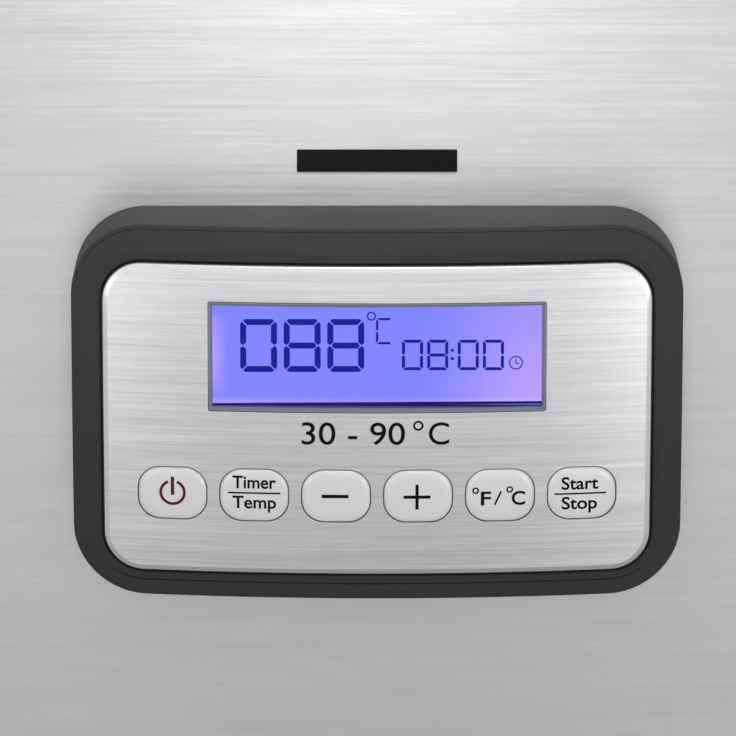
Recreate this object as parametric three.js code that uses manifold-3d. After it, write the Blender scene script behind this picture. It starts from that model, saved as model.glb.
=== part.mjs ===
// Countertop sous vide bath with a stirred water tank and a bowed control panel on its front wall.
// Millimetres, +Z up. The front, with the control panel, faces -Y, and the bath stands on the plane Z = 0.
// The origin lies under the middle of the object's bounding box.
//
// The bath is a steel sleeve between a moulded base and a moulded top rim. The rim carries a deep-drawn
// tank, heated and stirred from below. The control panel is a separate moulding screwed to the sleeve.

import * as THREE from 'three';
import { mergeVertices } from 'three/addons/utils/BufferGeometryUtils.js';
import Module from 'manifold-3d';

const wasm = await Module();
wasm.setup();

// ---------------------------------------------------------------- driving dimensions

// Steel sleeve.
const CASE_WIDTH = 340;
const CASE_DEPTH = 262;
const CASE_RADIUS = 34;
const SHEET = 1;

// Levels above the worktop.
const BASE_BOTTOM = 8;
const CASE_BOTTOM = 24;
const CASE_TOP = 214;
const RIM_TOP = 226;
const FLANGE_SEAT = 222;
const TANK_BOTTOM = 62;
const LID_GLASS_TOP = 240.4;

// Tank.
const TANK_WIDTH = 297;
const TANK_DEPTH = 219;
const TANK_WALL = 1.2;
const TANK_RADIUS = 43;

// Control panel: a moulding bowed about an upright axis and slightly crowned from top to bottom.
const PANEL_WIDTH = 138.6;
const PANEL_HEIGHT = 87;
const PANEL_RADIUS = 16.5;
const PANEL_DEPTH = 26.2;
const PANEL_LEVEL = 114;
const FACE_RADIUS = 360;
const CROWN_RADIUS = 420;
const BAND = 7;
const BAND_EDGE = 1.2;
const UNDER_ROLL = 3;
const LIP = 1.8;
const SKIRT = 2.4;
const SEAT_GAP = 0.3;

// Steel plate in the panel, a little below the panel's middle.
const PLATE_WIDTH = 124.8;
const PLATE_HEIGHT = 72.2;
const PLATE_RADIUS = 9.1;
const PLATE_LEVEL = -1.15;
const PLATE_GAP = 0.4;
const PLATE_CHAMFER = 1.4;
const PLATE_SINK = 1.8;
const PLATE_PROUD = 0.3;

// Display and keys, measured from the middle of the panel.
const DISPLAY_LEVEL = 13.9;
const DISPLAY_WIDTH = 76.2;
const DISPLAY_HEIGHT = 25;
const DISPLAY_PLANE = 22;
const CELL_THICKNESS = 2.8;
const KEY_LEVEL = -18.3;
const KEY_PITCH = 18.6;
const KEY_WIDTH = 15.4;
const KEY_HEIGHT = 12.1;
const KEY_RADIUS = 5;
const KEY_CLEARANCE = 0.3;
const KEY_TRAVEL = 0.8;
const BOARD_PLANE = 8;
const BOARD_THICKNESS = 1.6;
const SWITCH_HEIGHT = 4.4;

// Circulating pump, on the tank's centre line.
const SHAFT_RADIUS = 3;
const SHAFT_CLEARANCE = 0.08;
const SEAL_RADIUS = 7;

// What the rim oversails behind, against what the panel adds in front, puts the sleeve off centre.
const RIM_OVERHANG = 3;
const CASE_Y = (PANEL_DEPTH + PLATE_PROUD + SEAT_GAP - RIM_OVERHANG) / 2;
const FRONT_WALL = CASE_Y - CASE_DEPTH / 2;
const REAR_WALL = CASE_Y + CASE_DEPTH / 2;

// Facets: segments in a quarter round, from large corners to small ones, and in a full turn.
const CASE_ARC = 5;
const PANEL_ARC = 4;
const KEY_ARC = 3;
const SMALL_ARC = 2;
const ROUND_STEPS = 16;
const SMALL_STEPS = 8;

// ---------------------------------------------------------------- materials

/** A standard material of one colour. */
function finish(color, roughness, metalness = 0) {
  return new THREE.MeshStandardMaterial({ color, roughness, metalness });
}

const brushedSteel = finish(0xc4c5c4, 0.32, 1);
const drawnSteel = finish(0xb9bbbd, 0.25, 1);
const brushedPlate = finish(0xc9cbcf, 0.3, 1);
const screwSteel = finish(0x9a9ca0, 0.35, 1);
const blackMoulding = finish(0x343637, 0.55);
const darkMoulding = finish(0x1c1d1e, 0.6);
const silverKey = finish(0xc8cace, 0.4, 0.3);
const greyTrim = finish(0x8a8f9b, 0.35, 0.5);
const clearLens = finish(0xffffff, 0.05);
clearLens.transparent = true;
clearLens.opacity = 0.2;
const litDisplay = finish(0x8186fd, 0.2);
litDisplay.emissive.set(0x5458d0);
const diffuser = finish(0xe9ecf2, 0.5);
const boardGreen = finish(0x1f5a3a, 0.5);
const rubber = finish(0x202122, 0.85);
const silicone = finish(0xd8d8d4, 0.7);
const brass = finish(0xb59a5a, 0.35, 1);
const motorSteel = finish(0x8d9092, 0.4, 1);

// ---------------------------------------------------------------- geometry tools

/** A geometry as a manifold solid: only its positions, with shared vertices merged. */
function solid(geometry) {
  const bare = new THREE.BufferGeometry();
  const source = geometry.index ? geometry.toNonIndexed() : geometry;
  bare.setAttribute('position', source.getAttribute('position'));
  const merged = mergeVertices(bare, 1e-4);
  return new wasm.Manifold(new wasm.Mesh({
    numProp: 3,
    vertProperties: merged.getAttribute('position').array,
    triVerts: new Uint32Array(merged.index.array),
  }));
}

/** A manifold solid as a BufferGeometry, without the needless vertices a cut leaves behind. */
function geometryOf(manifold) {
  const mesh = manifold.simplify(0.005).getMesh();
  const geometry = new THREE.BufferGeometry();
  geometry.setAttribute('position', new THREE.BufferAttribute(mesh.vertProperties, 3));
  geometry.setIndex(new THREE.BufferAttribute(mesh.triVerts, 1));
  geometry.computeVertexNormals();
  return geometry;
}

/** The parts joined into one. */
function fuse(...parts) {
  return geometryOf(parts.map(solid).reduce((whole, part) => whole.add(part)));
}

/** The body with every tool cut out of it. */
function cut(body, ...tools) {
  return geometryOf(tools.map(solid).reduce((whole, tool) => whole.subtract(tool), solid(body)));
}

/** What the two parts share. */
function common(one, other) {
  return geometryOf(solid(one).intersect(solid(other)));
}

/** Values from first to last, both included. */
function spread(first, last, count) {
  return Array.from({ length: count }, (_, k) => first + ((last - first) * k) / (count - 1));
}

/** A shape drawn in XY and extruded from z = low to z = high. */
function upright(shape, low, high) {
  return new THREE.ExtrudeGeometry(shape, { depth: high - low, bevelEnabled: false }).translate(0, 0, low);
}

/** A shape drawn in XZ and extruded from y = low to y = high. */
function lengthwise(shape, low, high) {
  const flat = new THREE.ExtrudeGeometry(shape, { depth: high - low, bevelEnabled: false });
  return flat.rotateX(Math.PI / 2).translate(0, high, 0);
}

/** A box given by its lowest corner and its size. */
function block(x, y, z, width, depth, height) {
  return new THREE.BoxGeometry(width, depth, height).translate(x + width / 2, y + depth / 2, z + height / 2);
}

/** A profile of [radius, height] pairs turned about the Z axis. */
function turned(profile, steps = ROUND_STEPS) {
  const points = profile.map(([r, z]) => new THREE.Vector2(r, z));
  return new THREE.LatheGeometry(points, steps).rotateX(Math.PI / 2);
}

/** A ring of points round a rounded rectangle at one level, counter-clockwise seen from above. */
function ring(width, depth, radius, z, { arc = CASE_ARC, alongX = 1, alongY = 1 } = {}) {
  const x = width / 2 - radius;
  const y = depth / 2 - radius;
  const quarters = [[x, -y, 3], [x, y, 0], [-x, y, 1], [-x, -y, 2]];
  const points = quarters.flatMap(([cx, cy, quarter]) => spread(0, 1, arc + 1).map((t) => {
    const angle = ((quarter + t) * Math.PI) / 2;
    return new THREE.Vector3(cx + radius * Math.cos(angle), cy + radius * Math.sin(angle), z);
  }));
  return points.flatMap((point, k) => {
    const next = points[(k + 1) % points.length];
    const corner = Math.floor(k / (arc + 1));
    const endOfArc = k % (arc + 1) === arc;
    const steps = endOfArc ? [alongY, alongX][corner % 2] : 1;
    return Array.from({ length: steps }, (_, s) => point.clone().lerp(next, s / steps));
  });
}

/** A rounded rectangle as a Shape, drawn with the same facets as a ring. */
function roundedRect(width, height, radius, cx = 0, cy = 0, arc = SMALL_ARC) {
  const points = ring(width, height, radius, 0, { arc });
  return new THREE.Shape(points.map((p) => new THREE.Vector2(p.x + cx, p.y + cy)));
}

/** A circle as a Shape. */
function circle(radius, cx = 0, cy = 0, steps = SMALL_STEPS) {
  return new THREE.Shape(spread(0, 2 * Math.PI, steps + 1).slice(0, -1).map((angle) => (
    new THREE.Vector2(cx + radius * Math.cos(angle), cy + radius * Math.sin(angle))
  )));
}

/** Skins rings of equal length. The first and last are capped, or joined to each other as a closed band. */
function loft(rings, joined = false) {
  const count = rings[0].length;
  const index = [];
  const spans = joined ? rings.length : rings.length - 1;
  for (let k = 0; k < spans; k += 1) {
    const low = k * count;
    const high = ((k + 1) % rings.length) * count;
    for (let i = 0; i < count; i += 1) {
      const j = (i + 1) % count;
      index.push(low + i, low + j, high + j, low + i, high + j, high + i);
    }
  }
  if (!joined) {
    const last = (rings.length - 1) * count;
    for (let i = 1; i < count - 1; i += 1) {
      index.push(0, i + 1, i, last, last + i, last + i + 1);
    }
  }
  const positions = rings.flat().flatMap((point) => point.toArray());
  const geometry = new THREE.BufferGeometry();
  geometry.setAttribute('position', new THREE.Float32BufferAttribute(positions, 3));
  geometry.setIndex(index);
  geometry.computeVertexNormals();
  return geometry;
}

/** A loft of [width, depth, radius, z] rounded rectangles. */
function moulding(sections, joined = false) {
  return loft(sections.map(([width, depth, radius, z]) => ring(width, depth, radius, z)), joined);
}

/** A bridge handle in side view: a bar on two posts, with its outer corners rounded. */
function bridge({ span, rise, bar, post, outer, inner }) {
  const x = span / 2;
  const gap = x - post;
  const ceiling = rise - bar;
  const shape = new THREE.Shape();
  shape.moveTo(-x, 0);
  shape.lineTo(-gap, 0);
  shape.lineTo(-gap, ceiling - inner);
  shape.absarc(-gap + inner, ceiling - inner, inner, Math.PI, Math.PI / 2, true);
  shape.absarc(gap - inner, ceiling - inner, inner, Math.PI / 2, 0, true);
  shape.lineTo(gap, 0);
  shape.lineTo(x, 0);
  shape.absarc(x - outer, rise - outer, outer, 0, Math.PI / 2);
  shape.absarc(-x + outer, rise - outer, outer, Math.PI / 2, Math.PI);
  shape.closePath();
  return shape;
}

/** A bridge handle with softened edges, lying in XY and as wide along Z as asked, centred on z = 0. */
function bridgeBody(sizes, width, soft) {
  const depth = width - 2 * soft;
  const bevel = { bevelThickness: soft, bevelSize: soft, bevelOffset: -soft, bevelSegments: 1 };
  const body = new THREE.ExtrudeGeometry(bridge(sizes), { depth, curveSegments: 3, ...bevel });
  return body.translate(0, 0, -depth / 2);
}

/** A pan-head screw on the Z axis, its head below z = 0 and its shank above. */
function screw(headRadius, headHeight, shankRadius, length) {
  const profile = [
    [0, -headHeight], [headRadius * 0.8, -headHeight], [headRadius, 0],
    [shankRadius, 0], [shankRadius, length - shankRadius], [0, length],
  ];
  return turned(profile, SMALL_STEPS);
}

/** Adds a named mesh to its group and returns it. */
function add(group, name, geometry, material) {
  const mesh = new THREE.Mesh(geometry, material);
  mesh.name = name;
  group.add(mesh);
  return mesh;
}

// ---------------------------------------------------------------- the object and its groups

const bath = new THREE.Group();

// Everything that stands on the sleeve's own centre line.
const housing = new THREE.Group();
housing.position.y = CASE_Y;
bath.add(housing);

// The panel's own frame: x right, y up, z out of the front wall.
const panel = new THREE.Group();
panel.rotation.x = Math.PI / 2;
panel.position.set(0, FRONT_WALL - SEAT_GAP, PANEL_LEVEL);
bath.add(panel);

// ---------------------------------------------------------------- base moulding, feet and screws

const FOOT_X = 132;
const FOOT_Y = 92;
const BOSS_X = 157;
const BOSS_Y = 78;
const TAB_LEVEL = 36;
const BASE_FLOOR = 11;
const corners = [[-1, -1, 'front_left'], [1, -1, 'front_right'], [-1, 1, 'rear_left'], [1, 1, 'rear_right']];

function baseTray() {
  const lip = SHEET + SEAT_GAP;
  const sections = [
    [CASE_WIDTH - 8, CASE_DEPTH - 8, 30, BASE_BOTTOM],
    [CASE_WIDTH - 1, CASE_DEPTH - 1, 34, BASE_BOTTOM + 2],
    [CASE_WIDTH + 4, CASE_DEPTH + 4, 36, BASE_BOTTOM + 7],
    [CASE_WIDTH + 4, CASE_DEPTH + 4, 36, CASE_BOTTOM - 1],
    [CASE_WIDTH + 2, CASE_DEPTH + 2, 35, CASE_BOTTOM],
    [CASE_WIDTH - 2 * lip, CASE_DEPTH - 2 * lip, CASE_RADIUS - lip, CASE_BOTTOM],
    [CASE_WIDTH - 2 * lip, CASE_DEPTH - 2 * lip, CASE_RADIUS - lip, CASE_BOTTOM + 9],
    [CASE_WIDTH - 8, CASE_DEPTH - 8, 30, CASE_BOTTOM + 9],
    [CASE_WIDTH - 8, CASE_DEPTH - 8, 30, BASE_FLOOR],
  ];
  const bosses = corners.map(([sx, sy]) => (
    turned([[0, 10], [5.2, 10], [4.6, TAB_LEVEL - 0.4], [0, TAB_LEVEL - 0.4]], SMALL_STEPS)
      .translate(sx * BOSS_X, sy * BOSS_Y, 0)
  ));
  const boardPosts = [-148, -66].flatMap((x) => [-30, 30].map((y) => block(x, y - 2, 10, 4, 4, 6)));
  const counterbores = corners.flatMap(([sx, sy]) => [
    turned([[0, 7], [4, 7], [4, 12], [0, 12]], SMALL_STEPS).translate(sx * BOSS_X, sy * BOSS_Y, 0),
    turned([[0, 11], [2.1, 11], [2.1, 37], [0, 37]], SMALL_STEPS).translate(sx * BOSS_X, sy * BOSS_Y, 0),
  ]);
  const vents = spread(-44, 44, 5).flatMap((x) => [-78, 78].map((y) => (
    upright(roundedRect(5, 34, 2.49, x, y), BASE_BOTTOM - 1, BASE_FLOOR + 1)
  )));
  return cut(fuse(moulding(sections), ...bosses, ...boardPosts), ...counterbores, ...vents);
}

add(housing, 'base_tray', baseTray(), blackMoulding);

const footProfile = [[0, 0], [9.5, 0], [11, 1.5], [12, BASE_BOTTOM], [0, BASE_BOTTOM]];
for (const [sx, sy, place] of corners) {
  const foot = turned(footProfile, 12).translate(sx * FOOT_X, sy * FOOT_Y, 0);
  add(housing, `foot_${place}`, foot, rubber);
  const baseScrew = screw(3.4, 2.6, 1.7, 29).translate(sx * BOSS_X, sy * BOSS_Y, 12);
  baseScrew.translate(0, 0, -SEAT_GAP);
  add(housing, `base_screw_${place}`, baseScrew, screwSteel);
}

// ---------------------------------------------------------------- steel sleeve

const INLET_X = 108;
const INLET_LEVEL = 51;
const INLET_WIDTH = 27.6;
const INLET_HEIGHT = 20;
const GROMMET_X = -34;
const GROMMET_LEVEL = PANEL_LEVEL - 6;
const GROMMET_RADIUS = 6;
const PANEL_BOSS_X = 60;
const PANEL_BOSS_Y = 33.7;
const HANDLE_LEVEL = 184;
const PEG_Y = 56;
const PEG_RADIUS = 2.4;

function casingWrap() {
  const outline = (inset) => (
    roundedRect(CASE_WIDTH - 2 * inset, CASE_DEPTH - 2 * inset, CASE_RADIUS - inset, 0, 0, CASE_ARC)
  );
  const outer = outline(0);
  outer.holes.push(outline(SHEET));
  const sleeve = upright(outer, CASE_BOTTOM, CASE_TOP);
  const tabs = corners.map(([sx, sy]) => {
    const inner = BOSS_X - 8;
    const reach = CASE_WIDTH / 2 - SHEET / 2 - inner;
    return block(sx > 0 ? inner : -inner - reach, sy * BOSS_Y - 8, TAB_LEVEL, reach, 16, 1.5);
  });
  const through = [-CASE_DEPTH / 2 - 3, -CASE_DEPTH / 2 + 3];
  const behind = [CASE_DEPTH / 2 - 3, CASE_DEPTH / 2 + 3];
  const tabHoles = corners.map(([sx, sy]) => (
    upright(circle(2, sx * BOSS_X, sy * BOSS_Y), TAB_LEVEL - 1, TAB_LEVEL + 3)
  ));
  const panelHoles = corners.map(([sx, sy]) => (
    lengthwise(circle(1.5, sx * PANEL_BOSS_X, PANEL_LEVEL + sy * PANEL_BOSS_Y), ...through)
  ));
  const pegHoles = [-PEG_Y, PEG_Y].map((y) => {
    const bar = upright(circle(PEG_RADIUS + 0.4), -CASE_WIDTH / 2 - 3, CASE_WIDTH / 2 + 3);
    return bar.rotateY(Math.PI / 2).translate(0, y, HANDLE_LEVEL);
  });
  const grommetHole = lengthwise(circle(GROMMET_RADIUS, GROMMET_X, GROMMET_LEVEL, 16), ...through);
  const inletHole = lengthwise(roundedRect(INLET_WIDTH, INLET_HEIGHT, 1, INLET_X, INLET_LEVEL), ...behind);
  const louvres = spread(-126, -56, 9).map((x) => (
    lengthwise(roundedRect(3.4, 26, 1.69, x, INLET_LEVEL + 1), ...behind)
  ));
  const seam = block(-0.3, CASE_DEPTH / 2 - 3, CASE_BOTTOM - 1, 0.6, 6, CASE_TOP - CASE_BOTTOM + 2);
  const holes = [...tabHoles, ...panelHoles, ...pegHoles, grommetHole, inletHole, ...louvres, seam];
  return cut(fuse(sleeve, ...tabs), ...holes);
}

add(housing, 'casing_wrap', casingWrap(), brushedSteel);

// ---------------------------------------------------------------- top rim

function topRim() {
  const level = (inset, z) => {
    const past = RIM_OVERHANG - inset;
    return [CASE_WIDTH + 2 * past, CASE_DEPTH + 2 * past, CASE_RADIUS + past, z];
  };
  const seat = [TANK_WIDTH + 16, TANK_DEPTH + 16, TANK_RADIUS + 7];
  const opening = [TANK_WIDTH + 4, TANK_DEPTH + 4, TANK_RADIUS + 1.5];
  return moulding([
    level(0, CASE_TOP - 5),
    level(0, RIM_TOP - 4),
    level(0.9, RIM_TOP - 1.2),
    level(3, RIM_TOP),
    [...seat, RIM_TOP],
    [...seat, FLANGE_SEAT],
    [...opening, FLANGE_SEAT],
    [...opening, FLANGE_SEAT - 5],
    level(6.8, FLANGE_SEAT - 5),
    level(6.8, CASE_TOP - 11),
    level(4.3, CASE_TOP - 11),
    level(4.3, CASE_TOP),
    level(2.7, CASE_TOP),
    level(2.7, CASE_TOP - 5),
  ], true);
}

add(housing, 'top_rim', topRim(), blackMoulding);

// ---------------------------------------------------------------- tank, false floor and pump

const PROBE = [84, 34];
const GRATE_LEVEL = 85;
const TANK_FLOOR = TANK_BOTTOM + TANK_WALL;

function tank() {
  const inside = (width, depth, radius, z) => [
    width - 2 * TANK_WALL, depth - 2 * TANK_WALL, radius - TANK_WALL, z + TANK_WALL,
  ];
  const wall = [
    [TANK_WIDTH - 37, TANK_DEPTH - 37, 24, TANK_BOTTOM],
    [TANK_WIDTH - 25, TANK_DEPTH - 25, 30, TANK_BOTTOM + 1.5],
    [TANK_WIDTH - 17, TANK_DEPTH - 17, 36, TANK_BOTTOM + 6.5],
    [TANK_WIDTH - 13, TANK_DEPTH - 13, 39, TANK_BOTTOM + 15],
    [TANK_WIDTH - 1, TANK_DEPTH - 1, TANK_RADIUS - 0.5, FLANGE_SEAT - 2],
    [TANK_WIDTH + 1, TANK_DEPTH + 1, TANK_RADIUS + 0.5, FLANGE_SEAT],
  ];
  const flange = [TANK_WIDTH + 15, TANK_DEPTH + 15, TANK_RADIUS + 6.5];
  const sections = [
    ...wall,
    [...flange, FLANGE_SEAT],
    [...flange, FLANGE_SEAT + TANK_WALL],
    ...wall.toReversed().map((section) => inside(...section)),
  ];
  const shaftHole = upright(circle(SEAL_RADIUS + 0.2, 0, 0, ROUND_STEPS), TANK_BOTTOM - 1, TANK_FLOOR + 1);
  const probeHole = upright(circle(3.4, ...PROBE), TANK_BOTTOM - 1, TANK_FLOOR + 1);
  return cut(moulding(sections), shaftHole, probeHole);
}

add(housing, 'tank', tank(), drawnSteel);

function falseFloor() {
  const plate = roundedRect(254, 176, 24, 0, 0, CASE_ARC);
  for (const x of spread(-100, 100, 6)) {
    for (const y of spread(-54, 54, 3)) {
      plate.holes.push(roundedRect(10, 42, 4.99, x, y));
    }
  }
  const legs = [-1, 1].flatMap((sx) => [-1, 1].map((sy) => (
    block(sx * 122 - 1, sy * 50 - 9, TANK_FLOOR + SEAT_GAP, 2, 18, GRATE_LEVEL - TANK_FLOOR)
  )));
  const liftTabs = [-1, 1].map((sx) => (
    lengthwise(roundedRect(16, 22, 5), -1, 1).rotateZ(Math.PI / 2).translate(sx * 124, 0, GRATE_LEVEL + 10)
  ));
  return fuse(upright(plate, GRATE_LEVEL, GRATE_LEVEL + 1.5), ...legs, ...liftTabs);
}

add(housing, 'false_floor', falseFloor(), drawnSteel);

function impeller() {
  const sweep = spread(-0.25, 1.05, 5);
  const arc = (radius, angles) => angles.map((angle) => (
    new THREE.Vector2(radius * Math.cos(angle), radius * Math.sin(angle))
  ));
  const bladeShape = new THREE.Shape([...arc(15, sweep), ...arc(13.4, sweep.toReversed())]);
  const blades = spread(0, (Math.PI * 5) / 3, 6).map((angle) => (
    upright(bladeShape, 67, 77).translate(-1, -11, 0).rotateZ(angle)
  ));
  const disc = turned([[0, 66], [26, 66], [26, 67.6], [0, 67.6]]);
  const hub = turned([[0, 65.8], [7.5, 65.8], [7.5, 77], [5, 80], [0, 80]]);
  const shaft = turned([[0, 52.6], [SHAFT_RADIUS, 52.6], [SHAFT_RADIUS, 70], [0, 70]]);
  return fuse(disc, hub, shaft, ...blades);
}

add(housing, 'impeller', impeller(), darkMoulding);

const sealBore = SHAFT_RADIUS + SHAFT_CLEARANCE;
const shaftSeal = turned([
  [sealBore, TANK_BOTTOM - 3], [SEAL_RADIUS, TANK_BOTTOM - 3], [SEAL_RADIUS, TANK_FLOOR + 0.1],
  [SEAL_RADIUS + 3, TANK_FLOOR + 0.1], [SEAL_RADIUS + 2.4, TANK_FLOOR + 1.6], [sealBore, TANK_FLOOR + 1.6],
  [sealBore, TANK_BOTTOM - 3],
]);
add(housing, 'shaft_seal', shaftSeal, rubber);

const bellMount = turned([
  [9, 50.4], [24, 50.4], [25, 60.2], [33, 60.6], [33, 61.8], [23.4, 61.8], [22.4, 52.4], [9, 52.4], [9, 50.4],
]);
add(housing, 'motor_mount', bellMount, screwSteel);

function pumpMotor() {
  const can = turned([
    [0, 17], [18, 17], [20, 19], [20, 48], [18, 50.1], [8.6, 50.1], [8.6, 52.2], [0, 52.2],
  ]);
  const terminals = [-6, 3].map((x) => block(x, 12, 12, 3, 0.8, 6));
  return fuse(can, ...terminals);
}

add(housing, 'pump_motor', pumpMotor(), motorSteel);

// ---------------------------------------------------------------- heater and sensors under the tank

/** A tube of the given radius along a smooth open curve. */
function tube(points, radius, steps, sides = 6) {
  const path = new THREE.CatmullRomCurve3(points.map((p) => new THREE.Vector3(...p)), false, 'centripetal');
  const section = circle(radius, 0, 0, sides);
  return new THREE.ExtrudeGeometry(section, { steps, extrudePath: path, bevelEnabled: false });
}

const HEATER_RADIUS = 3.2;
const heaterLevel = TANK_BOTTOM - HEATER_RADIUS - 0.8;
const heaterLoop = [
  [-10, 74, 46], [-10, 74, 54], [-16, 71, heaterLevel], [-40, 68, heaterLevel], [-84, 60, heaterLevel],
  [-108, 30, heaterLevel], [-108, -30, heaterLevel], [-84, -60, heaterLevel], [-30, -68, heaterLevel],
  [30, -68, heaterLevel], [84, -60, heaterLevel], [108, -30, heaterLevel], [108, 30, heaterLevel],
  [84, 60, heaterLevel], [40, 68, heaterLevel], [16, 71, heaterLevel], [10, 74, 54], [10, 74, 46],
];
add(housing, 'heating_element', tube(heaterLoop, HEATER_RADIUS, 34), motorSteel);

const probeProfile = [
  [0, 55], [4.6, 55], [4.6, 61.8], [3, 61.8], [3, 78], [2, 80], [0, 80],
];
add(housing, 'temperature_probe', turned(probeProfile, SMALL_STEPS).translate(...PROBE, 0), screwSteel);

const cutoutBody = turned([[0, 53], [8, 53], [8, 58.6], [11, 59], [11, 61.6], [0, 61.6]], 16);
const cutoutTabs = [-4.5, 3.5].map((x) => block(x, -3, 47, 1, 6, 7));
add(housing, 'thermal_cutout', fuse(cutoutBody, ...cutoutTabs).translate(-58, 20, 0), blackMoulding);

// ---------------------------------------------------------------- power board and mains inlet

function powerBoard() {
  const floor = 16 + SEAT_GAP;
  const top = floor + 1.6;
  const board = block(-150, -38, floor, 90, 76, 1.6);
  const relay = block(-144, -30, top - 0.2, 16, 20, 15);
  const transformer = block(-120, -30, top - 0.2, 28, 24, 20);
  const terminals = block(-84, 10, top - 0.2, 18, 22, 11);
  const can = [[0, top - 0.2], [5.5, top - 0.2], [5.5, top + 15], [0, top + 15]];
  const capacitors = [-138, -122, -108].map((x) => turned(can, SMALL_STEPS).translate(x, 20, 0));
  return fuse(board, relay, transformer, terminals, ...capacitors);
}

add(housing, 'power_board', powerBoard(), boardGreen);

const inletPins = [[-7, -2, 'live'], [0, 2, 'earth'], [7, -2, 'neutral']];

function inletSocket() {
  const wall = CASE_DEPTH / 2;
  const flange = lengthwise(roundedRect(31, 24, 3, INLET_X, INLET_LEVEL, 4), wall + SEAT_GAP / 2, wall + 2.4);
  const body = lengthwise(roundedRect(27, 19.4, 1, INLET_X, INLET_LEVEL), wall - 19, wall + 1);
  const recess = new THREE.Shape();
  const half = { x: 12, z: 8.2, chamfer: 4 };
  recess.moveTo(INLET_X - half.x, INLET_LEVEL - half.z);
  recess.lineTo(INLET_X + half.x, INLET_LEVEL - half.z);
  recess.lineTo(INLET_X + half.x, INLET_LEVEL + half.z - half.chamfer);
  recess.lineTo(INLET_X + half.x - half.chamfer, INLET_LEVEL + half.z);
  recess.lineTo(INLET_X - half.x + half.chamfer, INLET_LEVEL + half.z);
  recess.lineTo(INLET_X - half.x, INLET_LEVEL + half.z - half.chamfer);
  recess.closePath();
  const pinSlots = inletPins.map(([x, z]) => (
    block(INLET_X + x - 1.4, wall - 21, INLET_LEVEL + z - 2.4, 2.8, 5, 4.8)
  ));
  return cut(fuse(flange, body), lengthwise(recess, wall - 16, wall + 4), ...pinSlots);
}

add(housing, 'inlet_socket', inletSocket(), darkMoulding);
for (const [x, z, pole] of inletPins) {
  const pin = block(INLET_X + x - 1, CASE_DEPTH / 2 - 24, INLET_LEVEL + z - 2, 2, 21, 4);
  add(housing, `inlet_pin_${pole}`, pin, brass);
}

// ---------------------------------------------------------------- carrying handles

const carrySizes = { span: 128, rise: 28, bar: 9, post: 15, outer: 11, inner: 5 };

/** A handle with two headed pegs that pass through the sleeve. It stands on the wall plane x = 0. */
function carryHandle() {
  const grip = bridgeBody(carrySizes, 20, 2.5).rotateZ(-Math.PI / 2).translate(SEAT_GAP, 0, 0);
  const inner = -SHEET - SEAT_GAP;
  const pegProfile = [
    [0, inner - 1.5], [4, inner - 1.5], [4, inner], [PEG_RADIUS, inner], [PEG_RADIUS, 3], [0, 3],
  ];
  const pegs = [-PEG_Y, PEG_Y].map((y) => (
    turned(pegProfile, SMALL_STEPS).rotateY(Math.PI / 2).translate(0, y, 0)
  ));
  return fuse(grip, ...pegs);
}

for (const [side, name] of [[1, 'carry_handle_right'], [-1, 'carry_handle_left']]) {
  const handle = carryHandle().rotateZ(side > 0 ? 0 : Math.PI);
  add(housing, name, handle.translate((side * CASE_WIDTH) / 2, 0, HANDLE_LEVEL), blackMoulding);
}

// ---------------------------------------------------------------- lid

const lid = new THREE.Group();
lid.position.z = SEAT_GAP;
housing.add(lid);

const LID_WIDTH = CASE_WIDTH - 2;
const LID_DEPTH = CASE_DEPTH - 2;
const GLASS_WIDTH = 212;
const GLASS_DEPTH = 144;
const GLASS_THICKNESS = 4;
const LID_HANDLE_POST = 57;

function lidFrame() {
  const pan = (inset, z) => [LID_WIDTH - 2 * inset, LID_DEPTH - 2 * inset, 33 - inset, z];
  const window = (margin, radius, z) => [GLASS_WIDTH + 2 * margin, GLASS_DEPTH + 2 * margin, radius, z];
  const ledge = LID_GLASS_TOP - GLASS_THICKNESS - SEAT_GAP;
  return moulding([
    pan(0, RIM_TOP),
    pan(0, RIM_TOP + 5.5),
    pan(0.8, RIM_TOP + 8),
    pan(3, RIM_TOP + 9.6),
    window(2, 24, LID_GLASS_TOP),
    window(0.4, 22.4, LID_GLASS_TOP - 0.4),
    window(0.4, 22.4, ledge),
    window(-7, 16, ledge),
    window(-7, 16, ledge - 1.4),
    window(3, 24.6, ledge - 1.4),
    window(3, 24.6, LID_GLASS_TOP - 1.8),
    pan(4, RIM_TOP + 8),
    pan(1.6, RIM_TOP + 5),
    pan(1.6, RIM_TOP),
  ], true);
}

add(lid, 'lid_frame', lidFrame(), brushedSteel);

function lidWindow() {
  const pane = roundedRect(GLASS_WIDTH, GLASS_DEPTH, 22, 0, 0, CASE_ARC);
  [-1, 1].forEach((side) => pane.holes.push(circle(2.5, side * LID_HANDLE_POST, 0)));
  return upright(pane, LID_GLASS_TOP - GLASS_THICKNESS, LID_GLASS_TOP);
}

add(lid, 'lid_window', lidWindow(), clearLens);

function lidGasket() {
  const lip = (inset, z) => {
    const past = 6 - inset;
    return [TANK_WIDTH + 2 * past, TANK_DEPTH + 2 * past, TANK_RADIUS + past - 1, z];
  };
  const foot = FLANGE_SEAT + TANK_WALL + 0.1;
  return moulding([
    lip(0, foot), lip(0, RIM_TOP + 8.2), lip(3, RIM_TOP + 8.4), lip(3, foot + 3), lip(4.4, foot),
  ], true);
}

add(lid, 'lid_gasket', lidGasket(), silicone);

const lidHandleSizes = { span: 130, rise: 34, bar: 11, post: 16, outer: 13, inner: 6 };
const postBores = [-1, 1].map((side) => (
  turned([[0, -1], [2, -1], [2, 15], [0, 15]], SMALL_STEPS).translate(side * LID_HANDLE_POST, 0, 0)
));
const lidHandle = cut(bridgeBody(lidHandleSizes, 24, 3).rotateX(Math.PI / 2), ...postBores);
add(lid, 'lid_handle', lidHandle.translate(0, 0, LID_GLASS_TOP + SEAT_GAP), blackMoulding);

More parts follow.
